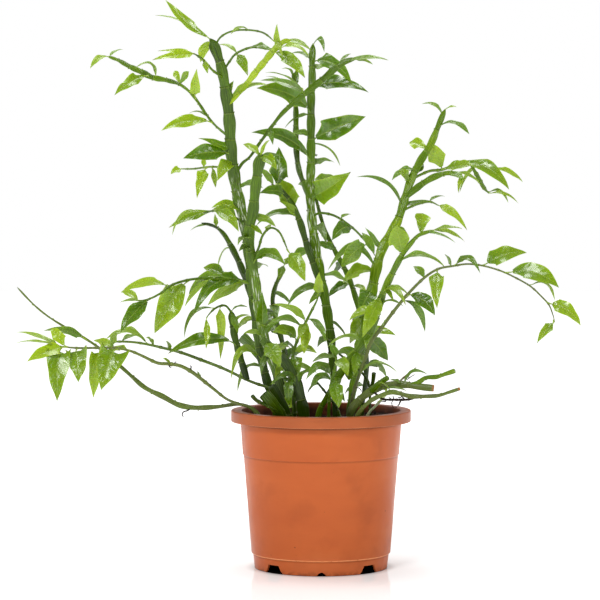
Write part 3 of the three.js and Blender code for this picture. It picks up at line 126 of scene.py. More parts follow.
STEMS: tuple[Stem, ...] = (
    Stem("stem_left_tall", Slot.FRESH, (Ribbon(
        path=((-44, 118), (-45, 163), (-53, 183), (-61, 218), (-66, 256), (-69, 283), (-72, 313),
            (-75, 338), (-81, 363), (-86, 388), (-90, 418), (-91, 443), (-94, 470), (-99, 498),
            (-106, 520), (-111, 529)),
        depth=(18, -25), width=(9, 9, 10, 10.5, 12, 12.5, 12.5, 9), thick=2.8, joint=26,
        turn=(10, -15), tint=0.26, leaf_tint=0.62, fill=(170, 400, 6), sheath=(336, 395),
        leaves=((-111, 529, -155, 568, 10, 66, -0.06, 16, 0.4), (-110, 527, -166, 553, 4, 32, 0.08),
            (-110, 526, -120, 505, 11, 64, 0.1), (-94, 417, -122, 430, 10, 60, 0.03, -10, 0.2),
            (-92, 414, -137, 410, 17, 75, 0.06, -24, 0.35),
            (-84, 409, -103, 388, 14, 66, 0.1, -34, 0.25), (-90, 464, -52, 483, 9, 42, 0.16),
            (-92, 470, -87, 487, 8, 60, 0.05), (-60, 207, -90, 188, 9, 54, 0.42, -31),
            (-58, 200, -84, 176, 7, 50, 0.3, 27)),
    ), Ribbon(  # thin side branch to the far left
        path=((-91, 430), (-109, 446), (-126, 470), (-139, 482), (-153, 487), (-168, 490),
            (-178, 495), (-191, 501), (-202, 507), (-213, 511)),
        depth=(45,), width=(2.4, 2.6, 3.2, 3, 5.5, 6.5, 5, 2), thick=1.8, joint=16, tint=0.45,
        leaf_tint=0.72,
        leaves=((-109, 448, -159, 438, 14, 62, 0.08, -20, 0.35),
            (-112, 450, -132, 455, 5, 34, 0.15, 17),
            (-126, 470, -124, 498, 11, 65, 0.03, -14, 0.14),
            (-141, 484, -146, 497, 7, 58, 0.03, 10, 0.72),
            (-141, 484, -132, 496, 8, 64, 0.03, -10, 0.72),
            (-165, 490, -185, 500, 5, 34, 0.42, -10), (-174, 491, -206, 473, 13, 64, 0.06, -17),
            (-212, 511, -230, 499, 7, 44, 0.16, -10), (-211, 511, -197, 518, 3.5, 32, 0.1, 14)),
    ), Ribbon(  # short branch at the top left
        path=((-98, 490), (-108, 497), (-117, 507), (-127, 514)),
        depth=(-55,), width=(2.4, 2.6, 2.2), thick=1.8, joint=14, tint=0.5, leaf_tint=0.74,
        leaves=((-127, 514, -163, 517, 7, 60, 0.02, 10, 0.2),
            (-126, 513, -168, 508, 10, 66, 0.02, -17, 0.16),
            (-118, 507, -113, 494, 6, 60, 0.05, -7)),
    ), Ribbon(  # thin shoot arching to the right at the top
        path=((-106, 520), (-100, 530), (-88, 536), (-72, 537), (-57, 534), (-46, 525)),
        depth=(-62,), width=(2, 2, 1.8), thick=1.7, joint=15, tint=0.42, leaf_tint=0.6,
        leaves=((-72, 537, -90, 533, 4, 38, 0.2, -14), (-47, 526, -38, 510, 5, 50, 0.1, -10)),
    ), Ribbon(  # chain of leaves to the right, under it
        path=((-98, 495), (-91, 506), (-84, 514), (-68, 520), (-50, 518), (-38, 520)),
        depth=(25,), width=(2.2, 2.4, 2.4, 2), thick=1.7, joint=15, tint=0.42, leaf_tint=0.62,
        leaves=((-84, 514, -73, 492, 11, 68, 0.05, -14), (-84, 514, -102, 523, 6, 40, 0.12, 10),
            (-70, 519, -48, 515, 7, 44, 0.15, -14), (-39, 520, -12, 511, 7, 42, 0.18, -14)),
    ), Ribbon(  # broad pale branch rising to the right
        path=((-92, 462), (-84, 472), (-76, 481), (-66, 494), (-57, 505), (-47, 517), (-38, 525),
            (-30, 527)),
        depth=(-70,), width=(2.5, 6, 7, 7, 7, 3), thick=2, joint=18, turn=(0, 10), tint=0.82,
        leaf_tint=0.78,
        leaves=((-44, 520, -44, 543, 7, 78, 0.02, -7), (-33, 526, -10, 517, 7, 44, 0.1, -10),
            (-48, 515, -16, 490, 15, 58, 0.1, -20), (-40, 523, -14, 524, 5, 36, 0.12, 14)),
    ), Ribbon(  # branch that crosses behind the big leaf and in front of the middle stem
        path=((-86, 392), (-79, 404), (-71, 411), (-61, 425), (-50, 440), (-38, 455), (-21, 470),
            (-10, 479), (4, 490), (14, 499), (25, 506), (36, 509)),
        depth=(-20,), width=(3, 3, 3.5, 4, 6, 7, 7, 3), thick=2.2, joint=21, tint=0.34,
        leaf_tint=0.6,
        leaves=((-51, 438, -48, 423, 6, 56, 0.05, -10), (25, 506, 67, 508, 7, 44, 0.06, -17),
            (18, 501, 30, 514, 4, 44, 0.1, 14), (-17, 473, -61, 488, 9, 42, 0.08, 24),
            (-16, 474, -55, 496, 4, 38, 0.12, -24), (30, 507, 52, 503, 5, 44, 0.1, 7)),
    ), Ribbon(  # thin branch to the left with a bright pair
        path=((-86, 396), (-97, 400), (-111, 401), (-127, 399), (-141, 399)),
        depth=(40,), width=(2.2, 2.2, 2, 1.8), thick=1.7, joint=15, tint=0.6, leaf_tint=0.9,
        leaves=((-115, 402, -124, 370, 12, 76, 0.05, -10, 0.14),
            (-110, 400, -105, 380, 6, 64, 0.05, 10), (-140, 399, -150, 394, 8, 64, 0.05, -7),
            (-118, 401, -117, 412, 5, 56, 0.02, 8)),
    ), Ribbon(  # branch with two olive leaves
        path=((-77, 346), (-86, 350), (-97, 355), (-107, 357), (-118, 355)),
        depth=(-60,), width=(2.6, 2.4, 2.2, 1.8), thick=1.7, joint=14, tint=0.34, leaf_tint=0.62,
        leaves=((-84, 349, -108, 359, 13, 54, 0.12, -20),
            (-107, 357, -152, 341, 10, 60, 0.05, -14, 0.4),
            (-108, 357, -82, 337, 13, 64, 0.14, -20, 0.3), (-117, 355, -149, 333, 5, 48, 0.26, 17)),
    ), Ribbon(  # dark ribbon arching to the left
        path=((-68, 266), (-75, 288), (-83, 308), (-91, 324), (-98, 335), (-107, 342), (-120, 345)),
        depth=(35,), width=(6.8, 7.9, 7.9, 6.8, 4, 2.2), thick=2.4, joint=22, turn=(-28, -28),
        tint=0.1, leaf_tint=0.5,
        leaves=((-107, 342, -131, 338, 4, 38, 0.1, 14), (-104, 340, -106, 354, 5, 56, 0.03, -14),
            (-88, 318, -104, 300, 6, 50, 0.2, 34)),
    ), Ribbon(  # chain of leaves to the left with the two big glossy ones
        path=((-70, 284), (-82, 288), (-95, 289), (-114, 290), (-133, 288), (-149, 283),
            (-160, 275), (-172, 269), (-184, 267)),
        depth=(-60,), width=(3, 3, 2.6, 2.6, 2.2, 1.8), thick=1.9, joint=19, tint=0.45,
        leaf_tint=0.58,
        leaves=((-132, 288, -166, 235, 25, 80, 0.05, -17, 0.3),
            (-170, 269, -201, 236, 16, 76, 0.05, -14, 0.3), (-183, 267, -200, 277, 9, 56, 0.1, 14),
            (-182, 267, -201, 266, 5, 38, 0.05, -14), (-152, 282, -201, 275, 11, 54, 0.14, 20, 0.3),
            (-93, 289, -133, 274, 11, 54, 0.2, -20, 0.4), (-76, 286, -137, 261, 12, 50, 0.24, 24),
            (-74, 284, -128, 252, 15, 62, 0.24, -24), (-73, 284, -114, 262, 14, 68, 0.1, 34),
            (-93, 288, -118, 301, 12, 60, 0.08, 14, 0.5)),
    ), Ribbon(  # old cut side ribbon
        path=((-59, 208), (-68, 221), (-79, 231)),
        depth=(30,), width=(8, 11, 11), thick=2.4, joint=24, tint=0.5, leaf_tint=0.5, cut=True,
    ))),
    Stem("stem_left_second", Slot.DEEP, (Ribbon(
        path=((-36, 118), (-38, 168), (-46, 198), (-56, 228), (-62, 256), (-65, 283), (-69, 308),
            (-72, 328), (-71, 342), (-68, 356), (-66, 373), (-64, 390), (-60, 416)),
        depth=(-4, -30), width=(9, 10, 10, 10, 10, 11.5, 12, 11.5), thick=2.8, joint=25,
        turn=(-32, 30), tint=0.36, leaf_tint=0.5, fill=(175, 380, 6), sheath=(195, 300),
        leaves=((-60, 412, -44, 398, 12, 60, 0.12, -17), (-61, 410, -78, 424, 8, 50, 0.1, 17),
            (-62, 404, -37, 410, 8, 44, 0.16, 27), (-66, 320, -82, 317, 8, 52, 0.14, -20),
            (-66, 306, -36, 304, 15, 56, 0.24, -27), (-64, 342, -58, 333, 6, 64, 0.02, -14),
            (-56, 240, -59, 276, 12, 70, 0.05, -24), (-55, 240, -47, 260, 9, 64, 0.05, 20),
            (-54, 231, -40, 248, 7, 56, 0.1, -17), (-61, 412, -52, 428, 6, 56, 0.05, -20)),
    ), Ribbon(  # thin shoot arching over to the right, with the long hanging leaf
        path=((-66, 312), (-62, 321), (-59, 331), (-54, 338), (-48, 340), (-41, 335), (-35, 322),
            (-33, 316)),
        depth=(-50,), width=(2.6, 2.4, 2, 1.8), thick=1.8, joint=15, tint=0.45, leaf_tint=0.52,
        leaves=((-33, 317, -16, 287, 17, 72, 0.06, -14), (-55, 337, -50, 344, 5, 56, 0.02, 10)),
    ))),
    Stem("stem_middle_tall", Slot.DEEP, (Ribbon(
        path=((16, 118), (15, 155), (14, 173), (12, 203), (10, 228), (7, 252), (4, 270), (1, 283),
            (-2, 300), (-5, 318), (-8, 338), (-10, 359), (-11, 378), (-10, 404), (-10, 430),
            (-10, 453), (-10, 473), (-9, 488), (-9, 504), (-8, 524)),
        depth=(8, 34), width=(7, 7.5, 8.5, 10, 10.5, 10.5, 10, 9, 9, 9, 8.5, 5.5), thick=2.8,
        joint=24, turn=(38, -28), tint=0.34, leaf_tint=0.42, fill=(175, 500, 8), sheath=(300, 400),
        leaves=((-8, 523, 3, 515, 6, 48, 0.5, -14), (-9, 507, 31, 484, 15, 64, 0.16, -17),
            (-9, 478, 47, 476, 16, 64, 0.12, -27), (-9, 427, 44, 451, 23, 76, 0.03, -10),
            (-9, 424, 20, 402, 6, 38, 0.16, 20), (-9, 371, 29, 396, 26, 78, -0.05, -14),
            (-10, 402, 14, 406, 9, 50, 0.12, 27), (-12, 455, -63, 480, 22, 68, 0.1, -41),
            (-12, 406, -68, 436, 16, 60, 0.12, -44), (-11, 506, -34, 512, 6, 44, 0.16, 24),
            (-12, 452, -37, 440, 5, 44, 0.1, 20), (4, 280, -34, 262, 10, 52, 0.18, -27),
            (4, 279, -12, 264, 7, 56, 0.05, -17), (8, 246, 26, 230, 6, 54, 0.1, 24),
            (-10, 345, 2, 330, 5, 50, 0.1, 27)),
    ), Ribbon(  # dark ribbon leaning to the left
        path=((0, 283), (-9, 308), (-15, 326), (-21, 346), (-28, 362), (-37, 375), (-50, 384)),
        depth=(0,), width=(6.8, 7.9, 7.9, 7.9, 5.6, 2.8), thick=2.4, joint=22, turn=(28, 28),
        tint=0.16, leaf_tint=0.46,
        leaves=((-26, 350, -41, 367, 9, 64, 0.05, -14), (-24, 351, -65, 343, 8, 48, 0.2, -17),
            (-27, 355, -44, 354, 4, 40, 0.16, 14), (-36, 374, -61, 375, 13, 64, 0.1, -20),
            (-24, 360, -46, 391, 19, 70, 0.05, 20), (-44, 381, -42, 421, 19, 82, 0.03, 10),
            (-48, 383, -64, 400, 8, 56, 0.1, -10)),
    ), Ribbon(  # branch behind, rising beside the stem
        path=((-11, 368), (-17, 383), (-22, 398), (-24, 412), (-25, 430), (-25, 452), (-26, 470),
            (-27, 488), (-29, 496)),
        depth=(48,), width=(6.5, 7.2, 7.8, 7.8, 6.5, 3.9), thick=2.3, joint=21, turn=(-40, -40),
        tint=0.3, leaf_tint=0.5,
        leaves=((-28, 492, -39, 499, 4, 48, 0.2, -7), (-26, 475, -55, 492, 4, 40, 0.1, 20),
            (-27, 480, -24, 500, 7, 64, 0, 7)),
    ), Ribbon(  # thin shoot to the right
        path=((-8, 352), (0, 355), (14, 352), (28, 343), (39, 333), (49, 321), (54, 312)),
        depth=(-25,), width=(2.6, 2.4, 2.2, 2), thick=1.8, joint=17, tint=0.4, leaf_tint=0.44,
        leaves=((33, 339, 11, 328, 16, 64, 0.16, -27), (53, 313, 41, 336, 9, 58, 0.05, 14),
            (46, 324, 20, 300, 17, 70, 0.08, 24), (20, 349, 30, 354, 4, 44, 0.1, 10)),
    ))),
    Stem("stem_back_thin", Slot.DEEP, (Ribbon(
        path=((38, 118), (41, 158), (45, 190), (44, 230), (37, 262), (27, 292), (14, 317), (4, 338),
            (-4, 365), (-7, 383)),
        depth=(38, 70), width=(5.2, 6.5, 7.8, 7.8, 7.2, 5.2, 3.9), thick=2.2, joint=24,
        turn=(40, 40), tint=0.3, leaf_tint=0.45, fill=(170, 360, 4),
        leaves=((30, 283, 7, 271, 10, 62, 0.1, -10), (31, 282, 46, 275, 6, 44, 0.16, -14),
            (20, 305, 13, 294, 8, 64, 0.03, 14), (-6, 380, 14, 392, 12, 56, 0.1, 27),
            (-5, 372, -24, 384, 12, 54, 0.14, 34), (42, 240, 60, 250, 12, 56, 0.12, 31),
            (44, 214, 30, 200, 12, 56, 0.2, 27), (44, 200, 66, 190, 12, 54, 0.25, 24)),
    ),)),
    Stem("stem_right_tall", Slot.FRESH, (Ribbon(
        path=((26, 118), (31, 173), (37, 203), (42, 228), (47, 256), (51, 278), (55, 298),
            (61, 319), (69, 334), (77, 348), (83, 367), (89, 386), (98, 405), (109, 423),
            (117, 442), (124, 459)),
        depth=(12, 45), width=(7.5, 8.5, 9.5, 11, 11.5, 11, 10, 9, 8.5, 8, 4.5), thick=2.8,
        joint=25, turn=(30, -26), tint=0.56, leaf_tint=0.56, fill=(175, 400, 6),
        leaves=((120, 453, 100, 464, 4.5, 46, 0.22, 10, 0.4),
            (123, 458, 135, 461, 3.5, 38, 0.1, -8), (116, 440, 148, 434, 6, 50, 0.24, -14, 0.66),
            (104, 419, 88, 426, 13, 66, 0.05, 14, 0.6), (88, 386, 78, 397, 13, 66, 0.03, -14, 0.6),
            (91, 390, 102, 406, 10, 60, 0.03, 14, 0.5), (78, 360, 36, 392, 6, 46, 0.2, -20, 0.4),
            (82, 358, 117, 364, 6, 40, 0.12, 14), (60, 318, 44, 341, 6, 46, 0.03, 14, 0.25),
            (56, 298, 7, 298, 9, 52, 0.46, -17), (62, 294, 21, 285, 17, 64, 0.16, 24, 0.45),
            (57, 276, 38, 254, 18, 64, 0.05, -17), (43, 250, 28, 224, 17, 68, 0.05, 24),
            (44, 232, 36, 211, 12, 64, 0.05, -20), (45, 256, 31, 248, 7, 56, 0.05, -24),
            (36, 207, 18, 219, 12, 62, 0.12, 20)),
    ), Ribbon(  # broad side branch
        path=((84, 370), (92, 377), (101, 384), (113, 391), (128, 395), (142, 391)),
        depth=(20,), width=(5, 7, 7, 5, 3), thick=2.3, joint=20, tint=0.5, leaf_tint=0.6,
        leaves=((128, 395, 143, 388, 9, 56, 0.05, -14), (132, 394, 160, 383, 6, 50, 0.14, 14),
            (141, 391, 137, 375, 5, 56, 0.1, -14)),
    ), Ribbon(  # leafy branch above it
        path=((90, 388), (99, 393), (109, 397), (120, 398), (133, 402), (148, 403), (160, 402),
            (172, 399)),
        depth=(85,), width=(2.6, 3, 3, 2.4, 2), thick=1.9, joint=17, tint=0.55, leaf_tint=0.66,
        leaves=((121, 398, 107, 425, 18, 74, 0.03, -14, 0.45),
            (121, 398, 152, 403, 13, 56, 0.04, -17, 0.4),
            (132, 402, 188, 379, 14, 60, 0.18, -20, 0.45),
            (171, 399, 202, 386, 7, 52, 0.1, 14, 0.4), (160, 401, 138, 375, 5, 52, 0.16, 24)),
    ), Ribbon(  # thin shoot that hangs from it
        path=((150, 402), (156, 392), (162, 381), (168, 374)),
        depth=(82,), width=(2.6, 4.4, 4.2, 2), thick=1.6, joint=11, tint=0.5, leaf_tint=0.6,
        leaves=((168, 374, 197, 365, 4, 52, 0.16, -10), (167, 375, 187, 365, 4, 50, 0.28, 12)),
    ), Ribbon(  # lower leafy branch
        path=((80, 356), (87, 360), (97, 364), (109, 366), (118, 362)),
        depth=(0,), width=(2.4, 2.6, 2.2, 1.8), thick=1.8, joint=15, tint=0.5, leaf_tint=0.6,
        leaves=((117, 363, 146, 338, 10, 58, 0.1, -14), (107, 366, 124, 372, 4, 38, 0.1, 14)),
    ))),
    Stem("stem_right_second", Slot.FRESH, (Ribbon(
        path=((-8, 118), (-2, 155), (8, 173), (20, 195), (34, 214), (42, 225), (49, 235), (52, 246),
            (56, 256), (59, 266), (63, 277), (68, 288), (74, 300), (81, 313), (90, 325), (98, 333),
            (113, 338)),
        depth=(-22, -50), width=(6.6, 7.6, 8.4, 10.4, 12.4, 11, 8.6, 7.4, 5.2, 2.6), thick=2.6,
        joint=23, turn=(45, 15), tint=0.48, leaf_tint=0.6, fill=(170, 300, 4),
        leaves=((99, 334, 102, 355, 16, 72, 0.02, 10, 0.78), (112, 338, 141, 340, 6, 44, 0.06, -14),
            (104, 335, 134, 326, 4, 44, 0.08, -20), (112, 338, 144, 327, 7, 50, 0.1, 14),
            (81, 314, 75, 342, 21, 84, 0.03, -14, 0.5), (77, 304, 125, 301, 9, 46, 0.2, -17),
            (68, 281, 89, 271, 5, 38, 0.14, -14), (66, 279, 73, 266, 6, 56, 0.05, -17),
            (60, 274, 42, 231, 15, 76, 0.04, -27), (58, 252, 83, 262, 5, 40, 0.3, -17),
            (51, 240, 47, 216, 10, 68, 0.03, -17), (42, 225, 6, 221, 7, 44, 0.22, -14),
            (50, 229, 67, 207, 16, 74, 0.05, 7), (38, 217, 33, 192, 9, 70, 0.03, -17),
            (30, 208, 28, 187, 11, 68, 0.03, 14), (18, 192, 14, 172, 7, 64, 0.05, -14)),
    ),)),
    Stem("shoot_right_arching", Slot.FRESH, (Ribbon(
        path=((27, 118), (30, 160), (33, 177), (36, 186), (41, 200), (46, 214), (50, 226),
            (59, 238), (73, 257), (87, 274), (103, 290), (117, 299), (132, 302), (147, 304),
            (163, 302), (180, 297), (195, 290), (209, 282), (220, 272), (228, 263), (232, 253),
            (234, 245)),
        depth=(-38, -85), width=(3.4, 3.4, 3.2, 4, 3.4, 2.6, 2, 1.8, 1.7, 1.6), thick=2, joint=22,
        tint=0.42, leaf_tint=0.6, dry=0.3,
        leaves=((86, 274, 114, 253, 16, 66, 0.12, -17, 0.4),
            (117, 299, 116, 260, 15, 76, 0.03, -10, 0.16), (103, 290, 92, 302, 9, 52, 0.1, 14),
            (131, 302, 124, 314, 6, 50, 0.05, -10), (134, 302, 159, 295, 8, 50, 0.36, -17),
            (162, 302, 206, 316, 18, 66, 0.1, 14, 0.2),
            (187, 295, 238, 281, 20, 68, 0.14, -17, 0.36), (209, 282, 234, 267, 5, 38, 0.34, 14),
            (227, 264, 260, 243, 15, 68, 0.12, -14), (234, 246, 216, 225, 11, 70, 0.05, -10),
            (82, 268, 104, 236, 8, 56, 0.2, 14), (60, 240, 66, 249, 4, 50, 0.05, -10),
            (38, 192, 77, 196, 6, 38, 0.26, -14)),
    ),)),
    Stem("runner_left_low", Slot.OLD, (Ribbon(
        path=((-57, 118), (-60, 148), (-70, 160), (-84, 163.5), (-103, 161), (-126, 160),
            (-143, 163), (-158, 171), (-176, 180), (-189, 191), (-199, 200), (-221, 219),
            (-237, 230), (-258, 242), (-275, 253), (-289, 265), (-304, 281)),
        depth=(-8, 2), width=(3, 3, 3.6, 5.5, 6, 5, 3.6, 3, 2.4, 2, 1.6), thick=2, joint=24,
        tint=0.56, leaf_tint=0.78, dry=0.24,
        leaves=((-236, 229, -277, 238, 11, 52, 0.08, -14),),
    ),)),
    Stem("runner_left_middle", Slot.FRESH, (Ribbon(
        path=((-57, 118), (-61, 146), (-70, 159), (-83, 164), (-95, 169), (-109, 180), (-128, 195),
            (-141, 202), (-153, 204), (-164, 205), (-179, 212), (-191, 217), (-206, 220),
            (-226, 220), (-246, 220), (-264, 222)),
        depth=(-27, -30), width=(2.6, 2.8, 2.8, 4, 3.6, 2.6, 2.4, 2), thick=1.9, joint=20, tint=0.6,
        leaf_tint=0.74, dry=0.3,
        leaves=((-206, 220, -220, 178, 29, 78, 0.04, -14, 0.05),
            (-222, 220, -228, 170, 15, 74, 0.03, -6, 0.06), (-192, 217, -221, 205, 9, 50, 0.2, 17),
            (-245, 220, -243, 186, 21, 78, 0.03, -10, 0.05),
            (-261, 222, -264, 167, 24, 80, 0.03, -10, 0.06),
            (-256, 222, -294, 207, 15, 66, 0.05, -17, 0.2), (-263, 222, -305, 237, 7, 40, 0.05, 14),
            (-264, 222, -305, 226, 5, 38, 0.06, -7), (-256, 221, -270, 240, 12, 66, 0.03, 24, 0.4),
            (-206, 220, -228, 228, 11, 56, 0.06, 17, 0.3), (-150, 204, -158, 210, 4, 56, 0.05, -8),
            (-122, 190, -124, 197, 3, 50, 0.05, 8), (-211, 220, -204, 235, 8, 60, 0.05, -14, 0.5)),
    ),)),
    Stem("runner_left_high", Slot.DEEP, (Ribbon(
        path=((-23, 118), (-25, 148), (-33, 168), (-44, 177), (-55, 181), (-72, 187), (-97, 199),
            (-120, 208), (-139, 215), (-158, 220), (-176, 224), (-191, 226), (-208, 226),
            (-222, 223)),
        depth=(-6, 30), width=(2.8, 3, 3, 3, 3.4, 3, 2.4, 2), thick=2, joint=21, tint=0.5,
        leaf_tint=0.6, dry=0.14,
        leaves=((-167, 222, -175, 231, 6, 50, 0.1, -10), (-174, 224, -216, 229, 10, 48, 0.24, -17),
            (-152, 219, -155, 227, 6, 60, 0.05, -10), (-200, 226, -180, 232, 6, 44, 0.12, 14)),
    ), Ribbon(  # broad dark upright ribbon
        path=((-74, 188), (-77, 198), (-82, 215), (-87, 234), (-89, 250), (-90, 258)),
        depth=(5,), width=(6, 7.5, 7.5, 7, 6), thick=2.4, joint=19, tint=0.16, leaf_tint=0.5,
        leaves=((-84, 226, -153, 215, 14, 60, 0.12, -27), (-89, 256, -83, 235, 7, 68, 0.02, -17),
            (-88, 244, -71, 253, 5, 44, 0.14, -17), (-89, 257, -73, 261, 4, 38, 0.14, -14)),
    ), Ribbon(  # thin shoot from its top with the hanging leaves
        path=((-90, 256), (-95, 262), (-101, 262), (-108, 258), (-115, 250)),
        depth=(-10,), width=(2.4, 2.2, 2, 1.8), thick=1.8, joint=12, tint=0.4, leaf_tint=0.78,
        leaves=((-106, 259, -137, 230, 6, 46, 0.28, -14), (-115, 250, -115, 219, 7, 64, 0.03, -10),
            (-102, 261, -101, 208, 9, 64, 0.03, 14)),
    ))),
    Stem("stub_front_wide", Slot.OLD, (Ribbon(
        path=((-38, 118), (-39, 150), (-46, 161), (-57, 174)),
        depth=(-47, -52), width=(9, 11, 12, 12.5), thick=2.6, joint=40, tint=0.24, leaf_tint=0.3,
        cut=True,
    ), Ribbon(  # two bare twig ends beside it
        path=((-42, 156), (-54, 162), (-64, 167), (-69, 172)),
        depth=(-62,), width=(2.4, 3, 4, 4.4), thick=2, joint=14, tint=0.24, leaf_tint=0.3, cut=True,
    ))),
    Stem("stub_front_left", Slot.DEEP, (Ribbon(
        path=((-30, 118), (-33, 150), (-40, 166), (-49, 182)),
        depth=(-33, -34), width=(8, 10, 10, 9), thick=2.6, joint=40, tint=0.1, leaf_tint=0.5,
        cut=True,
        leaves=((-34, 154, -31, 182, 9, 68, 0.03, 14),),
    ),)),
    Stem("stub_front_leaning", Slot.DEEP, (Ribbon(
        path=((-14, 118), (-17, 152), (-21, 172), (-27, 190), (-36, 206), (-49, 219), (-59, 229)),
        depth=(-38, -36), width=(11, 12, 12, 12, 11, 8), thick=2.8, joint=26, tint=0.2,
        leaf_tint=0.36, cut=True,
        leaves=((-22, 177, -50, 183, 9, 54, 0.36, -24), (-56, 227, -41, 201, 17, 70, 0.05, -20),
            (-28, 193, -31, 162, 10, 70, 0.1, 17), (-44, 214, -60, 192, 8, 54, 0.25, -20),
            (-24, 184, -4, 196, 9, 54, 0.2, -20)),
    ),)),
    Stem("stem_right_cut", Slot.OLD, (Ribbon(
        path=((26, 118), (29, 152), (37, 166), (49, 176), (60, 181), (71, 183), (85, 183),
            (99, 181), (113, 179.5)),
        depth=(-52, -56), width=(7, 8, 8.5, 8.5, 8, 7.5, 7), thick=2.8, joint=28, tint=0.5,
        leaf_tint=0.5, dry=0.25, cut=True,
        leaves=((82, 183, 69, 188, 5, 48, 0.1, -10), (84, 183, 107, 194, 6, 48, 0.3, -10),
            (58, 180, 87, 177, 5, 44, 0.06, -14)),
    ), Ribbon(  # split stub on its upper side
        path=((50, 176), (59, 185), (67, 190)),
        depth=(-62,), width=(6, 6, 5), thick=2.4, joint=24, tint=0.5, leaf_tint=0.5, cut=True,
    ), Ribbon(  # upper cut end
        path=((88, 183), (97, 185), (105, 190), (116, 191), (125, 194), (134, 197)),
        depth=(-66,), width=(4, 5, 4.6, 5), thick=2.4, joint=19, tint=0.66, leaf_tint=0.6, cut=True,
    ), Ribbon(  # bare twig on its upper side
        path=((76, 184), (85, 192), (96, 201)),
        depth=(-46,), width=(2, 1.8, 1.6), thick=1.6, joint=9, tint=0.5, leaf_tint=0.5, dry=0.5,
        leaves=((84, 191, 90, 189, 3, 44, 0.1, 7),),
    ), Ribbon(  # dried twig below it, with its root hairs
        path=((52, 177), (61, 169), (73, 168), (85, 168), (94, 169)),
        depth=(-60,), width=(2.4, 2.2, 2.4, 2), thick=1.8, joint=8, tint=0.3, leaf_tint=0.4,
        dry=1.5,
    ))),
    Stem("runner_right_cut", Slot.OLD, (Ribbon(
        path=((32, 118), (35, 148), (45, 163), (57, 171), (70, 175.5), (78, 174.5), (90, 171.5),
            (109, 171.5), (119, 172.5), (128, 175.4), (139, 179)),
        depth=(-62, -74), width=(4, 4.4, 4.6, 5, 5, 4, 3.4), thick=2.4, joint=22, tint=0.56,
        leaf_tint=0.5, dry=0.25, cut=True,
        leaves=((70, 175, 58, 186, 4, 44, 0.1, -8),),
    ),)),
    Stem("shoot_right_pale", Slot.OLD, (Ribbon(
        path=((41, 118), (46, 150), (55, 162), (64, 172), (69, 178)),
        depth=(-21, -24), width=(3.4, 3.4, 3.2, 2.6), thick=2, joint=16, turn=(30, 30), tint=1.4,
        leaf_tint=0.6, cut=True,
        leaves=((66, 174, 60, 190, 5, 54, 0.1, -8),),
    ),)),
    Stem("twig_middle_right", Slot.DEEP, (Ribbon(
        path=((48, 118), (49, 172), (45, 190), (31, 204), (18, 214)),
        depth=(-7, -6), width=(2.8, 2.8, 2.6, 2.2), thick=2, joint=14, tint=0.36, leaf_tint=0.4,
        cut=True,
    ), Ribbon(  # short cut stub beside it
        path=((49, 178), (52, 186), (53, 195)),
        depth=(-14,), width=(3, 4, 4.6), thick=2, joint=20, tint=0.3, leaf_tint=0.4, cut=True,
    ))),
    Stem("twig_middle", Slot.DEEP, (Ribbon(
        path=((22, 118), (19, 152), (7, 172), (-6, 188)),
        depth=(-8, -8), width=(2.8, 2.6, 2.2), thick=2, joint=14, tint=0.36, leaf_tint=0.4,
        cut=True,
        leaves=((-2, 184, -14, 174, 5, 50, 0.15, 14),),
    ),)),
    Stem("shoot_middle_back", Slot.DEEP, (Ribbon(
        path=((-26, 118), (-29, 180), (-40, 230), (-48, 262), (-46, 280), (-40, 294), (-37, 303)),
        depth=(24, 20), width=(5.6, 5.6, 7, 7.8, 7, 5), thick=2.3, joint=22, turn=(45, 45),
        tint=0.34, leaf_tint=0.46, fill=(170, 280, 4),
        leaves=((-47, 274, -30, 264, 8, 50, 0.1, 17), (-37, 302, -43, 288, 8, 64, 0.02, -10),
            (-37, 303, -27, 312, 7, 56, 0.05, 14), (-40, 232, -62, 244, 12, 56, 0.12, 31),
            (-34, 205, -14, 216, 12, 56, 0.16, 31), (-30, 186, -48, 196, 12, 54, 0.25, 34)),
    ),)),
    Stem("shoot_middle_front", Slot.FRESH, (Ribbon(
        path=((-23, 118), (-27, 170), (-29, 200), (-26, 221), (-16, 244), (-10, 256), (-4, 268),
            (-2, 276)),
        depth=(-15, -25), width=(3, 3.4, 3.4, 3.2, 2.8, 2.2), thick=2.1, joint=19, tint=0.45,
        leaf_tint=0.6,
        leaves=((-25, 226, -48, 236, 15, 56, 0.2, -17), (-14, 247, -17, 214, 11, 70, 0.03, -14),
            (-16, 244, -23, 229, 9, 68, 0.03, -24), (-15, 246, -50, 264, 9, 50, 0.14, 10),
            (-18, 240, -53, 243, 9, 48, 0.2, -27), (-13, 249, 5, 226, 8, 54, 0.16, -17),
            (-27, 218, -40, 222, 10, 54, 0.14, -24), (-27, 214, -23, 192, 14, 70, 0.05, -17),
            (-26, 216, -4, 215, 10, 52, 0.16, -10), (-29, 200, -46, 190, 9, 54, 0.3, -14),
            (-3, 274, -2, 296, 10, 74, 0.02, -10)),
    ),)),
    Stem("shoot_front_low", Slot.FRESH, (Ribbon(
        path=((7, 118), (8, 160), (10, 182), (14, 200), (16, 212)),
        depth=(-42, -50), width=(3.4, 3.4, 3.2, 2.6), thick=2.1, joint=17, tint=0.46,
        leaf_tint=0.34,
        leaves=((11, 190, -15, 188, 12, 54, 0.42, -17), (10, 186, -11, 178, 10, 56, 0.3, 17),
            (12, 190, 18, 160, 14, 76, 0.06, -17), (15, 210, -9, 206, 8, 46, 0.12, -14),
            (15, 208, 27, 192, 13, 64, 0.12, -20), (16, 211, 8, 226, 8, 60, 0.05, 10),
            (9, 172, 24, 166, 9, 56, 0.25, -14)),
    ),)),
)


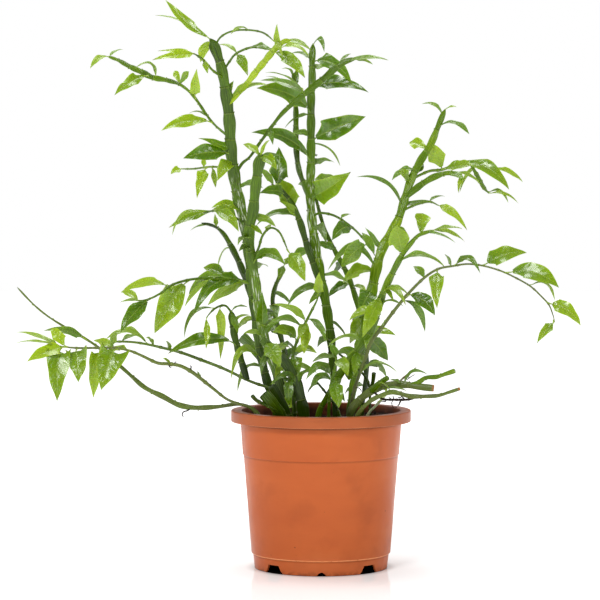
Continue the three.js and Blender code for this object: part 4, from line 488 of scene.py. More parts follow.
def hair(*path: tuple[float, float], width: float = 0.9) -> Ribbon:
    """A dead root hair or stub that grows from the nearest stem and stays near its face.

    Args:
        *path: its axis from the front, as x and z.
        width: how thick it is.

    Returns:
        Its ribbon.
    """
    return Ribbon(
        path=path, depth=(), width=(width, 0.9 * width, 0.6 * width), thick=width, joint=2.6,
        tint=0.3, leaf_tint=0.3, dry=1.5,
    )


HAIRS: dict[str, tuple[Ribbon, ...]] = {
    "stem_right_cut": (
        hair((72, 172), (72.7, 169), (71, 165), (72, 161), (75, 160), (77.7, 161.6)),
        hair((81, 169), (79.4, 166), (77.7, 162.4), (76, 162), width=1.5),
        hair((84, 168), (81, 171), (79, 170), (76, 171), width=1.2),
        hair((66, 168.5), (64, 166), (61, 166.5), (60, 165), width=1.1),
        hair((70, 168.5), (69, 170), (67, 170.5), width=0.8),
        hair((92, 183), (95, 185), (97.6, 188.6), width=1.3),
        hair((86, 188), (90, 191), (95, 194), width=0.8),
        hair((99, 186), (101, 187), (103, 186), width=1.1),
    ),
    "stem_right_second": (
        hair((30, 172), (33, 178), (36, 180), (39, 179), (41, 175.5), width=1.0),
    ),
    "runner_left_low": (
        hair((-130, 159.5), (-134, 157), (-138, 155.5), (-139, 152), (-136.5, 151), width=1.3),
    ),
    "runner_left_middle": (
        hair((-150, 204), (-154, 207.5), (-156, 208.5), width=1.2),
        hair((-153, 204), (-151, 200.5), (-149, 200), width=1.2),
        hair((-147, 203.5), (-145.5, 206), (-144, 205.5), width=1.0),
        hair((-131, 197), (-130, 201), (-131.5, 203), width=1.2),
        hair((-109, 180), (-111, 183), (-109, 184), width=1.1),
    ),
}


# How the layout is read: the rules that the imported model's layout follows


@dataclass(frozen=True)
class GrowthRules:
    """Numbers, in millimetres and shares, that the layout of stems and leaves follows."""

    span_steps: int = 8
    lean: float = 1.4
    depth_spread: float = 1.5
    hair_lift: float = 2.0
    tangent_reach: float = 2.0
    inside_margin: float = 0.02
    wood_step: float = 4.0
    dry_leaves: float = 0.4
    tip_tint: float = 0.16
    tip_share: float = 0.96
    waist: float = 0.87
    loose_waist: float = 0.96
    shoulder: float = 0.8
    cut_end: float = 0.96
    grown_end: float = 0.45
    loose_ribbon: float = 5.0
    broad_leaf: float = 11.0
    stalk_share: float = 0.12
    corner: tuple[float, float] = (0.14, 0.42)
    blade_foot: float = 0.2
    bulge: float = 0.5
    bend_at: float = 0.42
    shift_share: float = 0.45
    least_up: float = 0.35
    least_across: float = 0.2
    across_nudge: float = 0.3
    root_depth: float = 3.0
    least_root: float = 0.5
    leaf_clear: float = 4.6
    own_clear: float = 2.6
    stem_clear: float = 2.4
    fill_reach: tuple[float, float] = (20.0, 34.0)
    fill_rise: tuple[float, float] = (-0.5, 0.35)
    fill_width: float = 0.35
    fill_face: tuple[float, float] = (35.0, 62.0)
    fill_arch: float = 0.16
    fill_depth: float = 1.3
    depth_tries: tuple[float, ...] = (0, 8, -8, 15, -15, 22, -22, 30, -30, 38, -38)
    samples: tuple[float, ...] = (-0.5, 0.0, 0.17, 0.33, 0.5, 0.7, 0.85, 1.0)
    samples_across: tuple[float, ...] = (-1.0, -0.33, 0.33, 1.0)


RULES = GrowthRules()


def spread(k: int) -> float:
    """Returns numbers spread evenly over 0 to 1 for k = 0, 1, 2 and on, by the golden share."""
    return (k * GOLDEN_SHARE + FIRST_SHARE) % 1


def mix(a: float, b: float, share: float) -> float:
    """Returns the value a share of the way from a to b."""
    return a + (b - a) * share


def unit(vectors: Array) -> Array:
    """Returns the vectors, along the last axis, at length one."""
    return vectors / np.maximum(np.linalg.norm(vectors, axis=-1, keepdims=True), TINY)


def along(values: Sequence[float], share: Array | float) -> Array | float:
    """Returns the value at a share of the way along an evenly spaced list."""
    return np.interp(share, np.linspace(0, 1, len(values)), values)


def turns(count: int) -> Array:
    """Returns so many angles, evenly round a full turn."""
    return np.linspace(0, 2 * np.pi, count, endpoint=False)


def bell(x: Array, reach: float) -> Array:
    """Returns a bell curve: e to the power of less the square of x over its reach."""
    return np.exp(-(x / reach) ** 2)


def arc(start: Array, bend: Array, end: Array, count: int) -> Array:
    """Returns so many points on the quadratic curve over start, bend and end."""
    t = np.linspace(0, 1, count)[:, None]
    return start * (1 - t) ** 2 + bend * 2 * t * (1 - t) + end * t**2


def turned(first: Array, second: Array, angle: Array) -> tuple[Array, Array]:
    """Returns two square directions turned in their own plane, the first towards the second."""
    cos, sin = np.cos(angle), np.sin(angle)
    return first * cos + second * sin, second * cos - first * sin


def round_points(radius: Array | float, turn: Array, height: Array) -> Array:
    """Returns the points at these radii and turns about the Z axis, and at these heights."""
    flat = radius * np.cos(turn), radius * np.sin(turn)
    return np.stack(np.broadcast_arrays(*flat, height), axis=-1)


def eased(x: Array, knots: Sequence[float], values: Sequence[float]) -> Array:
    """A smooth curve through knots: a cubic on each span, with the neighbours' mean slopes.

    Args:
        x: where to read the curve.
        knots: rising positions.
        values: the value at each knot.

    Returns:
        The curve's values at x.
    """
    at, val = np.asarray(knots, float), np.asarray(values, float)
    slope = np.gradient(val, at)
    i = np.clip(np.searchsorted(at, x, side="right") - 1, 0, len(at) - 2)
    gap = at[i + 1] - at[i]
    t = np.clip((x - at[i]) / gap, 0, 1)
    low = (1 + 2 * t) * (1 - t) ** 2 * val[i] + t * (1 - t) ** 2 * gap * slope[i]
    return low + t * t * (3 - 2 * t) * val[i + 1] + t * t * (t - 1) * gap * slope[i + 1]


@dataclass
class Axis:
    """The middle line of a ribbon, as points in millimetres and their distances from its foot."""

    ribbon: Ribbon
    points: Array
    reach: Array = field(init=False)

    def __post_init__(self) -> None:
        """Works out the distance along the line of each of its points."""
        steps = np.linalg.norm(np.diff(self.points, axis=0), axis=1)
        self.reach = np.concatenate([[0.0], np.cumsum(steps)])

    @classmethod
    def grow(cls, ribbon: Ribbon, parents: Sequence[Axis]) -> Axis:
        """Runs a smooth curve (Catmull-Rom) through a ribbon's path.

        Each span is half of 2b + (c - a)t + (2a - 5b + 4c - d)t^2 + (3b - a - 3c + d)t^3.

        Args:
            ribbon: the ribbon.
            parents: the axes that it may grow from.

        Returns:
            Its axis.
        """
        path = np.asarray(ribbon.path, float)
        run = np.concatenate([[0.0], np.cumsum(np.linalg.norm(np.diff(path, axis=0), axis=1))])
        foot = ribbon.depth[0] if len(ribbon.depth) > 1 else cls.depth_near(parents, *path[0])
        tip = RULES.depth_spread * ribbon.depth[-1] if ribbon.depth else foot - RULES.hair_lift
        depth = mix(foot, tip, (run / run[-1]) ** RULES.lean)
        knots = np.stack([path[:, 0], depth, path[:, 1]], axis=1)
        padded = np.vstack([knots[:1], knots, knots[-1:]])[:, None]
        a, b, c, d = padded[:-3], padded[1:-2], padded[2:-1], padded[3:]
        t = (np.arange(RULES.span_steps) / RULES.span_steps)[None, :, None]
        bend, twist = 2 * a - 5 * b + 4 * c - d, 3 * b - a - 3 * c + d
        span = 2 * b + (c - a) * t + bend * t**2 + twist * t**3
        return cls(ribbon, np.vstack([0.5 * span.reshape(-1, 3), knots[-1:]]))

    @staticmethod
    def depth_near(parents: Sequence[Axis], x: float, z: float) -> float:
        """Returns the depth of the nearest point, as seen from the front, on the parents' axes."""
        feet = [parent.at(parent.nearest(x, z)) for parent in parents]
        off = [math.hypot(foot[0] - x, foot[2] - z) for foot in feet]
        return float(feet[int(np.argmin(off))][1])

    @property
    def total(self) -> float:
        """The whole length."""
        return float(self.reach[-1])

    def at(self, s: Array | float) -> Array:
        """Returns the points at distances s along the axis."""
        return np.stack([np.interp(s, self.reach, self.points[:, k]) for k in range(3)], axis=-1)

    def nearest(self, x: float, z: float) -> float:
        """Returns how far along the point nearest to an x and z lies."""
        off = (self.points[:, 0] - x) ** 2 + (self.points[:, 2] - z) ** 2
        return float(self.reach[int(np.argmin(off))])

    def directions(self, s: Array) -> tuple[Array, Array, Array]:
        """The ribbon's directions at distances s: along it, across its flat and out of its face.

        Args:
            s: distances along the axis.

        Returns:
            Unit vectors along, across and out.
        """
        tangent = unit(self.at(s + RULES.tangent_reach) - self.at(s - RULES.tangent_reach))
        face = unit(np.array([0.0, -1.0, 0.0]) + tangent * tangent[..., 1:2])
        side = np.cross(face, tangent)
        turn = np.radians(mix(*self.ribbon.turn, s / self.total))[..., None]
        return tangent, *turned(side, face, turn)

    @property
    def loose(self) -> bool:
        """Whether the ribbon is so narrow that it has no waists."""
        return max(self.ribbon.width) < RULES.loose_ribbon

    @property
    def joints(self) -> int:
        """How many lengths from joint to joint it has."""
        return max(1, int(self.total / self.ribbon.joint + 0.5))

    @property
    def gap(self) -> float:
        """The distance from joint to joint."""
        return self.total / self.joints

    def stations(self) -> tuple[Array, Array]:
        """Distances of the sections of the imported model's ribbon, and its width share at each."""
        feet = np.arange(self.joints) * self.gap
        waist = np.where((feet > 0) & (not self.loose), RULES.waist, RULES.loose_waist)
        if self.loose:
            at, share = feet, waist
        else:
            at = np.stack([feet, feet + RULES.shoulder * self.gap], axis=1).ravel()
            share = np.stack([waist, np.ones_like(waist)], axis=1).ravel()
        end = RULES.cut_end if self.ribbon.cut else RULES.grown_end
        return np.append(at, self.total), np.append(share, end)

    def inside(self, s: float) -> Array:
        """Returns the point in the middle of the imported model's ribbon at a distance along it."""
        at, _ = self.stations()
        k = max(1, int(np.argmax(at >= s)))
        share = (s - at[k - 1]) / (at[k] - at[k - 1])
        share = min(max(share, RULES.inside_margin), 1 - RULES.inside_margin)
        return mix(self.at(at[k - 1]), self.at(at[k]), share)


@dataclass
class Leaf:
    """One leaf: a curved midrib from start over bend to tip, and the way its blade faces."""

    start: Array
    bend: Array
    tip: Array
    half: float
    outward: Array
    order: int
    foot: Array
    tint: float
    dry: float
    corner: float

    @classmethod
    def shape(cls, axis: Axis, spec: Sequence[float], order: int, shift: float) -> Leaf:
        """Reads a leaf's numbers; shift bends it forward or back.

        Args:
            axis: the axis of the ribbon that carries it.
            spec: its numbers in the layout.
            order: which leaf it is.
            shift: how far its tip is bent back.

        Returns:
            The leaf.
        """
        at = axis.nearest(spec[0], spec[1])
        start = axis.at(at)
        tip_x, tip_z, width, face, arch = spec[2:7]
        by_rule = (spread(order) - 0.5) * math.hypot(tip_x - start[0], tip_z - start[2])
        depth = spec[7] if len(spec) > 7 else by_rule
        tip = np.array([tip_x, start[1] + depth + shift, tip_z])
        chord = tip - start
        length = float(np.linalg.norm(chord))
        up = np.array([0.0, 0.0, 1.0]) - chord * chord[2] / length**2
        if np.linalg.norm(up) < RULES.least_up:
            up = np.array([math.copysign(1.0, chord[0] or 1.0), 0.0, 0.0])
        bend = mix(start, tip, RULES.bend_at) + unit(up) * 2 * arch * length
        bend[1] += RULES.shift_share * shift
        angle = math.radians(face)
        corner = spec[8] if len(spec) > 8 else mix(*RULES.corner, spread(2 * order))
        young = RULES.tip_tint if at > RULES.tip_share * axis.total else 0.0
        return cls(
            start, bend, tip, width / 2, np.array([0.0, -math.sin(angle), math.cos(angle)]), order,
            axis.inside(max(at - RULES.root_depth, RULES.least_root)),
            axis.ribbon.leaf_tint + young,
            axis.ribbon.dry if axis.ribbon.dry >= RULES.dry_leaves else 0.0, corner,
        )

    @property
    def length(self) -> float:
        """The straight distance from its start to its tip."""
        return float(np.linalg.norm(self.tip - self.start))

    @property
    def broad(self) -> bool:
        """Whether it is one of the broad leaves, which have a longer stalk and a finer mesh."""
        return 2 * self.half >= RULES.broad_leaf

    def along(self, t: Array) -> tuple[Array, Array, Array, Array]:
        """The midrib at shares t of its way: a quadratic curve over start, bend and tip.

        Args:
            t: shares of the way.

        Returns:
            The points, and the unit vectors along, across and out of the blade.
        """
        t = np.asarray(t, float)[..., None]
        first, second = mix(self.start, self.bend, t), mix(self.bend, self.tip, t)
        tangent = unit(second - first)
        across = np.cross(tangent, self.outward)
        flat = np.linalg.norm(across, axis=-1, keepdims=True) < RULES.least_across
        across = unit(across + flat * np.array([RULES.across_nudge, 0.0, 0.0]))
        return mix(first, second, t), tangent, across, np.cross(across, tangent)

    def outline(self, place: Array) -> tuple[Array, Array]:
        """The blade's outline: widest at its two corners, with bowed sides from there to the tip.

        Its half-width grows evenly from the foot to the corners. From there to the tip, with p from
        0 to 1, it is (1 - p) times (1 + bulge p).

        Args:
            place: places on the blade, from -1 at its foot over 0 at its corners to 1 at its tip.

        Returns:
            Their shares of the blade's length, and the half-widths there as shares of the greatest.
        """
        low = place < 0
        way = np.where(low, self.corner * (1 + place), mix(self.corner, 1, place))
        bowed = (1 - place) * (1 + RULES.bulge * place)
        return way, np.where(low, mix(1, RULES.blade_foot, -place), bowed)

    def samples(self) -> Array:
        """Returns points over its blade, for keeping it clear of other leaves and stems."""
        way, wide = self.outline(np.array(RULES.samples))
        point, _, across, _ = self.along(RULES.stalk_share + (1 - RULES.stalk_share) * way)
        side = np.array(RULES.samples_across)[None, :, None]
        spots = point[:, None] + across[:, None] * side * (wide * self.half)[:, None, None]
        return np.vstack([spots[:-1].reshape(-1, 3), spots[-1:, 0]])


@dataclass
class Branch:
    """A ribbon's axis with the leaves that it carries."""

    axis: Axis
    leaves: list[Leaf]


def fill_leaves(axis: Axis, owner: int) -> Iterator[tuple[float, ...]]:
    """Numbers of the leaves that a stem carries all round, a golden turn from one to the next.

    Args:
        axis: the stem's axis.
        owner: which stem it is.

    Yields:
        The numbers of one leaf, as in the layout.
    """
    if not axis.ribbon.fill:
        return
    low, high, count = axis.ribbon.fill
    for k in range(int(count)):
        z = mix(low, high, (k + spread(k + owner)) / count)
        x = float(axis.points[int(np.argmax(axis.points[:, 2] >= z))][0])
        turn = (k + 3 * owner) * GOLDEN_TURN
        reach = mix(*RULES.fill_reach, spread(k * 5 + owner))
        rise = mix(*RULES.fill_rise, spread(k * 3 + owner))
        face = mix(*RULES.fill_face, spread(k + 2 * owner))
        depth = RULES.fill_depth * reach * math.sin(turn)
        tip = (x + reach * math.cos(turn), z + rise * reach)
        yield (x, z, *tip, RULES.fill_width * reach, face, RULES.fill_arch, depth)


class Plant:
    """The whole plant's layout. A leaf is bent until it is clear of what was placed before it."""

    def __init__(self, stems: Sequence[Stem]) -> None:
        """Grows all axes, then places the leaves in turn.

        Args:
            stems: the stems of the layout.
        """
        self.stems = stems
        self.branches: list[list[Branch]] = []
        for stem in stems:
            grown: list[Branch] = []
            for ribbon in stem.ribbons:
                grown.append(Branch(Axis.grow(ribbon, [branch.axis for branch in grown]), []))
            self.branches.append(grown)
        self._place()

    def _wood(self) -> tuple[Array, Array, Array]:
        """Returns points along all axes, their ribbons' half-widths and their stems' numbers."""
        at, radius, owner = [], [], []
        for k, grown in enumerate(self.branches):
            for branch in grown:
                s = np.arange(0, branch.axis.total + TINY, RULES.wood_step)
                at.append(branch.axis.at(s))
                radius.append(along(branch.axis.ribbon.width, s / branch.axis.total) / 2)
                owner.append(np.full(len(s), k))
        return np.concatenate(at), np.concatenate(radius), np.concatenate(owner)

    def _place(self) -> None:
        """Places the leaves, each at the first bend that leaves room, or else with the most."""
        wood, radius, wood_owner = self._wood()
        blades, blade_owner = np.zeros((0, 3)), np.zeros(0, int)
        order = 0
        for owner, grown in enumerate(self.branches):
            posts, thick = wood[wood_owner != owner], radius[wood_owner != owner]
            for branch in grown:
                for spec in (*branch.axis.ribbon.leaves, *fill_leaves(branch.axis, owner)):
                    clear = np.where(blade_owner == owner, RULES.own_clear, RULES.leaf_clear)
                    best, best_room = None, -math.inf
                    for shift in RULES.depth_tries:
                        leaf = Leaf.shape(branch.axis, spec, order, shift)
                        points = leaf.samples()[:, None]
                        to_wood = np.linalg.norm(points - posts, axis=-1) - thick
                        to_blades = np.linalg.norm(points - blades, axis=-1) / clear
                        room = min(to_wood.min() / RULES.stem_clear, to_blades.min(initial=1.0))
                        if room > best_room:
                            best, best_room = leaf, room
                        if room >= 1:
                            break
                    branch.leaves.append(best)
                    points = best.samples()
                    blades = np.vstack([blades, points])
                    blade_owner = np.append(blade_owner, np.full(len(points), owner))
                    order += 1


# Meshes


def pot_axis() -> Array:
    """Returns the place of the pot's axis on the ground, in metres."""
    low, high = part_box("pot")
    return np.array([(low.x + high.x) / 2, (low.y + high.y) / 2, 0.0])


def as_seen(points: Array) -> Array:
    """Moves points of the layout to where the viewer sees them as they are laid out.

    x and z go away from the viewer's by 1 + y over the viewer's distance. So what stands before the
    plane through the pot's axis is drawn in, and what stands behind it is spread.

    Args:
        points: points in plant millimetres.

    Returns:
        The moved points.
    """
    share = 1 - points[..., 1:2] / VIEWER[1]
    return np.where([False, True, False], points, mix(VIEWER, points, share))


def value_noise(points: Array, cell: float, seed: int) -> Array:
    """Smooth noise: random values at the corners of a cubic lattice, mixed with 3t^2 - 2t^3.

    Args:
        points: where to read it, in any unit.
        cell: the lattice's cell, in the same unit.
        seed: which noise.

    Returns:
        Values from -1 to 1.
    """
    table = np.random.default_rng(seed).uniform(-1, 1, (LATTICE,) * 3)
    scaled = points / cell
    low = np.floor(scaled).astype(int)
    t = scaled - low
    t = t * t * (3 - 2 * t)
    total = np.zeros(points.shape[:-1])
    for corner in np.ndindex(2, 2, 2):
        weight = np.prod(np.where(corner, t, 1 - t), axis=-1)
        i, j, k = np.moveaxis((low + corner) % LATTICE, -1, 0)
        total += weight * table[i, j, k]
    return total


@dataclass
class Shell:
    """A mesh made up of closed lofts, in plant millimetres, with values stored at its points."""

    names: tuple[str, ...] = ()
    laid_out: bool = False
    points: list[Array] = field(default_factory=list)
    quads: list[Array] = field(default_factory=list)
    caps: list[list[int]] = field(default_factory=list)
    values: dict[str, list[Array]] = field(default_factory=dict)
    rims: list[Array] = field(default_factory=list)
    count: int = 0

    def loft(self, rings: Array, rim: Array | None = None, **values: Array | float) -> None:
        """Adds a closed body: rings of equally many points joined by quads, and a face on each end.

        The faces are turned round where the body's signed volume is negative: they point outwards.

        Args:
            rings: the rings' points, as rings by points by 3.
            rim: which points of a ring lie on a sharp edge.
            **values: a value for each point, or one for all, for each of the shell's names.
        """
        n, m = rings.shape[:2]
        i, k = np.meshgrid(np.arange(n - 1), np.arange(m), indexing="ij")
        a, b = i * m + k, i * m + (k + 1) % m
        quads = np.stack([a, b, b + m, a + m], axis=-1).reshape(-1, 4)
        flat = rings.reshape(-1, 3)
        mid = flat - flat.mean(axis=0)
        p, q, r, s = (mid[quads[:, c]] for c in range(4))
        volume = np.sum(p * np.cross(q, r)) + np.sum(p * np.cross(r, s))
        start, end = list(range(m))[::-1], list(range((n - 1) * m, n * m))
        if volume < 0:
            quads, start, end = quads[:, ::-1], start[::-1], end[::-1]
        self.points.append(flat)
        self.quads.append(quads + self.count)
        self.caps += [[c + self.count for c in start], [c + self.count for c in end]]
        edge = np.zeros(m, bool) if rim is None else rim
        self.rims.append(np.broadcast_to(edge, (n, m)).ravel())
        for name in self.names:
            value = np.broadcast_to(np.asarray(values.get(name, 0.0), float), (n, m))
            self.values.setdefault(name, []).append(value.ravel())
        self.count += n * m

    def build(self, name: str, material: bpy.types.Material) -> bpy.types.Object:
        """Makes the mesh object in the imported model's frame, in metres, smooth but for its rims.

        Args:
            name: the piece's name.
            material: its finish.

        Returns:
            The object, at the origin.
        """
        points = np.concatenate(self.points)
        points = (as_seen(points) if self.laid_out else points) * MM + pot_axis()
        faces = [face for block in self.quads for face in block.tolist()] + self.caps
        mesh = bpy.data.meshes.new(name)
        mesh.from_pydata(points.tolist(), [], faces)
        mesh.shade_smooth()
        for key, blocks in self.values.items():
            layer = mesh.attributes.new(key, "FLOAT", "POINT")
            layer.data.foreach_set("value", np.concatenate(blocks).astype(np.float32))
        rim = np.concatenate(self.rims)
        if rim.any():
            ends = np.zeros(len(mesh.edges) * 2, np.int32)
            mesh.edges.foreach_get("vertices", ends)
            sharp = mesh.attributes.new("sharp_edge", "BOOLEAN", "EDGE")
            sharp.data.foreach_set("value", rim[ends.reshape(-1, 2)].all(axis=1))
        mesh.materials.append(material)
        mesh.update()
        piece = bpy.data.objects.new(name, mesh)
        bpy.context.scene.collection.objects.link(piece)
        return piece


def hand_over(piece: bpy.types.Object, slot: Slot, *nodes: str) -> None:
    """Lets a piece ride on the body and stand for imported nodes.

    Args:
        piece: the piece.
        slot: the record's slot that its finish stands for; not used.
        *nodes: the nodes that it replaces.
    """
    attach(piece, BODY)
    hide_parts(*nodes)
    log.info("%s: %d points, for %s", piece.name, len(piece.data.vertices), ", ".join(nodes))


# Finishes


def linear(colour: Colour) -> tuple[float, float, float, float]:
    """Returns a screen colour of 0 to 255 as the light values that shaders work with."""
    share = np.asarray(colour, float) / 255
    value = np.where(share <= 0.04045, share / 12.92, ((share + 0.055) / 1.055) ** 2.4)
    return (*(float(v) for v in value), 1.0)


@dataclass(frozen=True)
class Wire:
    """A node's output. Arithmetic and the calls below put further nodes behind it."""

    board: Board
    socket: bpy.types.NodeSocket

    def __add__(self, other: Feed) -> Wire:
        """Returns the sum."""
        return self.board.math("ADD", self, other)

    def __sub__(self, other: Feed) -> Wire:
        """Returns the difference."""
        return self.board.math("SUBTRACT", self, other)

    def __mul__(self, other: Feed) -> Wire:
        """Returns the product."""
        return self.board.math("MULTIPLY", self, other)

    def __abs__(self) -> Wire:
        """Returns the value without its sign."""
        return self.board.math("ABSOLUTE", self)

    def swing(self, span: float) -> Wire:
        """Returns a value of 0 to 1 as one that swings about zero, as far as the span in all."""
        return self.board.math("MULTIPLY_ADD", self, span, -span / 2)

    def rise(self, low: float, high: float, least: float = 0.0, most: float = 1.0) -> Wire:
        """Carries a value from one range to another with eased ends, and holds it there.

        Args:
            low: where it starts.
            high: where it ends.
            least: the result at the start.
            most: the result at the end.

        Returns:
            The result.
        """
        inputs = dict(enumerate((self, low, high, least, most)))
        return self.board.node("MapRange", inputs, interpolation_type="SMOOTHSTEP")

    def fall(self, low: float, high: float, top: float = 1.0) -> Wire:
        """Returns the top value below a range and nothing above it, with eased ends."""
        return self.rise(low, high, top, 0.0)


Feed = Wire | float | tuple
Band = tuple[float, ...]  # the numbers that Wire.rise, Wire.fall or Sheet.bump takes


class Board:
    """A board of nodes, with short calls for the ones that finishes and the room share."""

    def __init__(self, tree: bpy.types.NodeTree) -> None:
        """Takes over a node tree.

        Args:
            tree: the tree.
        """
        self.links, self.nodes = tree.links, tree.nodes

    def feed(self, socket: bpy.types.NodeSocket, value: Feed) -> None:
        """Links a socket, or sets its own value."""
        if isinstance(value, Wire):
            self.links.new(value.socket, socket)
        else:
            socket.default_value = value

    def node(
        self, kind: str, inputs: dict[int | str, Feed], output: int | str = 0, **settings: str,
    ) -> Wire:
        """Adds a node.

        Args:
            kind: its type, without the word that all shader nodes' types begin with.
            inputs: what goes into its inputs, by their numbers or names.
            output: which output is wanted.
            **settings: the node's own settings.

        Returns:
            The output.
        """
        node = self.nodes.new(f"ShaderNode{kind}")
        for name, setting in settings.items():
            setattr(node, name, setting)
        for key, value in inputs.items():
            self.feed(node.inputs[key], value)
        return Wire(self, node.outputs[output])

    def math(self, operation: str, *values: Feed) -> Wire:
        """Returns the result of a Math node's operation on up to three values."""
        return self.node("Math", dict(enumerate(values)), operation=operation)


@dataclass(frozen=True)
class Grain:
    """A noise: its cells a metre or unit, its finer layers, their strength, its scale in Z."""

    scale: float
    detail: float = 3.0
    rough: float = 0.5
    stretch: float = 1.0


class Sheet(Board):
    """A material's board, with one Principled shader."""

    def __init__(self, name: str) -> None:
        """Starts the material.

        Args:
            name: the material's name.
        """
        self.material = bpy.data.materials.new(name)
        self.material.use_nodes = True
        super().__init__(self.material.node_tree)
        self.shader = self.nodes["Principled BSDF"]
        self.place = self.node("TexCoord", {}, "Object")

    def set(self, **values: Feed) -> None:
        """Sets the shader's sockets; an underscore in a name stands for a space."""
        for name, value in values.items():
            self.feed(self.shader.inputs[name.replace("_", " ")], value)

    def value(self, name: str) -> Wire:
        """Returns the output that reads a value stored at the mesh's points."""
        return self.node("Attribute", {}, "Fac", attribute_name=name)

    def height(self) -> Wire:
        """Returns the output that gives the height above the ground."""
        return self.node("SeparateXYZ", {0: self.place}, "Z")

    def noise(self, grain: Grain, place: Wire | None = None) -> Wire:
        """Noise over the object's own coordinates.

        Args:
            grain: the noise.
            place: other coordinates to take instead.

        Returns:
            Its output, about 0 to 1.
        """
        place = place or self.place
        if grain.stretch != 1:
            place = self.node("Mapping", {"Vector": place, "Scale": (1, 1, grain.stretch)})
        return self.node("TexNoise", {
            "Vector": place, "Scale": grain.scale, "Detail": grain.detail, "Roughness": grain.rough,
        }, "Fac")

    def streaks(self, grain: Grain, across: Wire, way: Wire) -> Wire:
        """Returns noise over the ways across and along a piece: its cells follow the piece."""
        return self.noise(grain, self.node("CombineXYZ", {0: across, 1: way}))

    def ramp(self, share: Wire, places: Sequence[float], *colours: Colour) -> Wire:
        """Colours along a share.

        Args:
            share: the share.
            places: where along it each colour stands, from 0 to 1.
            *colours: the colours.

        Returns:
            The colour.
        """
        ramp = self.node("ValToRGB", {0: share})
        marks = ramp.socket.node.color_ramp.elements
        while len(marks) < len(colours):
            marks.new(1.0)
        for mark, place, colour in zip(marks, places, colours):
            mark.position, mark.color = place, linear(colour)
        return ramp

    def lay(self, skin: Wire | Colour, *coats: tuple[Wire, Colour]) -> Wire:
        """Lays colours over a skin, or over a plain colour, one after another.

        Args:
            skin: what they are laid over.
            *coats: how much of each colour there is, with the colour.

        Returns:
            The colour that is seen.
        """
        for share, colour in coats:
            under = linear(skin) if isinstance(skin, tuple) else skin
            skin = self.node("Mix", {0: share, 6: under, 7: linear(colour)}, 2, data_type="RGBA")
        return skin

    def bump(self, height: Wire, strength: float, depth: float) -> None:
        """Raises the surface by a height, on top of any bump that the sheet has.

        Args:
            height: the height's share.
            strength: how strong it is.
            depth: the full height in metres.
        """
        inputs = {"Height": height, "Strength": strength, "Distance": depth}
        for link in self.shader.inputs["Normal"].links:
            inputs["Normal"] = Wire(self, link.from_socket)
        self.set(Normal=self.node("Bump", inputs))


TINTS = (0.05, 0.5, 0.95)  # the tints at which a plant's skin is deep, middle and young
PLANT_GLOW = (0.6, 1.0, 0.2)  # how far red, green and blue light spreads inside a plant's skin


@dataclass(frozen=True)
class LeafFinish:
    """The glossy skin of the leaves: deep to yellow green, paler veins, a duller underside. The
    underside's pale colour is also painted as a sheen on the tops of leaves that face upwards.
    """

    name: str = "leaf_skin"
    deep: Colour = (34, 56, 0)
    middle: Colour = (80, 114, 2)
    young: Colour = (144, 169, 20)
    cloud: Grain = Grain(55)
    cloud_swing: float = 0.24
    vein: Colour = (144, 168, 56)
    side_veins: float = 7.0
    slant: float = 1.1
    side_band: Band = (0.0, 0.12, 0.1)
    rib_band: Band = (0.02, 0.11)
    rib_share: float = 0.4
    edge_band: Band = (0.93, 1.0, 0.0, 0.25)
    # The underside's pale colour, also a painted sheen on the tops of leaves that face upwards.
    under: Colour = (130, 155, 78)
    underside_and_sheen_share: float = 0.6
    withered: Colour = (112, 84, 44)
    specks: Grain = Grain(420, 2)
    speck_band: Band = (0.8, 0.86, 0.0, 0.4)
    smears: Grain = Grain(140, 2)
    gloss_band: Band = (0.35, 0.65, 0.2, 0.32)
    under_rough: float = 0.2
    relief: Grain = Grain(110, 1, 0.4)
    relief_bump: Band = (0.2, 0.0014)
    puckers: Grain = Grain(2, 1)
    pucker_stretch: float = 0.8
    pucker_bump: Band = (0.5, 0.0026)
    quilt_rib: float = 0.5
    quilt_bump: Band = (0.35, 0.0009)

    def build(self) -> bpy.types.Material:
        """Returns the material."""
        sheet = Sheet(self.name)
        across, way, under = abs(sheet.value("across")), sheet.value("along"), sheet.value("under")
        tint = sheet.value("tint") + sheet.noise(self.cloud).swing(self.cloud_swing)
        # Side veins run forward from the midrib. They lie where the way along times their number,
        # less the slant times the way across, is whole.
        wave = way * self.side_veins - across * self.slant
        saw = sheet.math("PINGPONG", wave, 0.5)
        rib = across.fall(*self.rib_band)
        lines = sheet.math("MAXIMUM", saw.fall(*self.side_band), rib * self.rib_share)
        dead = sheet.value("dry") + sheet.noise(self.specks).rise(*self.speck_band)
        skin = sheet.lay(
            sheet.ramp(tint, TINTS, self.deep, self.middle, self.young),
            (sheet.math("MAXIMUM", lines, across.rise(*self.edge_band)), self.vein),
            # The pale underside, and a painted sheen on the tops of upward-facing leaves.
            (under * self.underside_and_sheen_share, self.under),
            (sheet.math("MINIMUM", dead, 1.0), self.withered),
        )
        rough = sheet.noise(self.smears).rise(*self.gloss_band) + under * self.under_rough
        sheet.set(
            Base_Color=skin, Roughness=rough, Specular_IOR_Level=0.35, Coat_Weight=0.25,
            Coat_Roughness=0.1, Subsurface_Weight=0.2, Subsurface_Scale=0.0016,
            Subsurface_Radius=PLANT_GLOW,
        )
        sheet.bump(sheet.noise(self.relief), *self.relief_bump)
        stretch = self.pucker_stretch
        puckers = sheet.streaks(self.puckers, across * stretch, wave * stretch)
        sheet.bump(puckers * sheet.value("crinkle"), *self.pucker_bump)
        sheet.bump(saw - rib * self.quilt_rib, *self.quilt_bump)
        return sheet.material


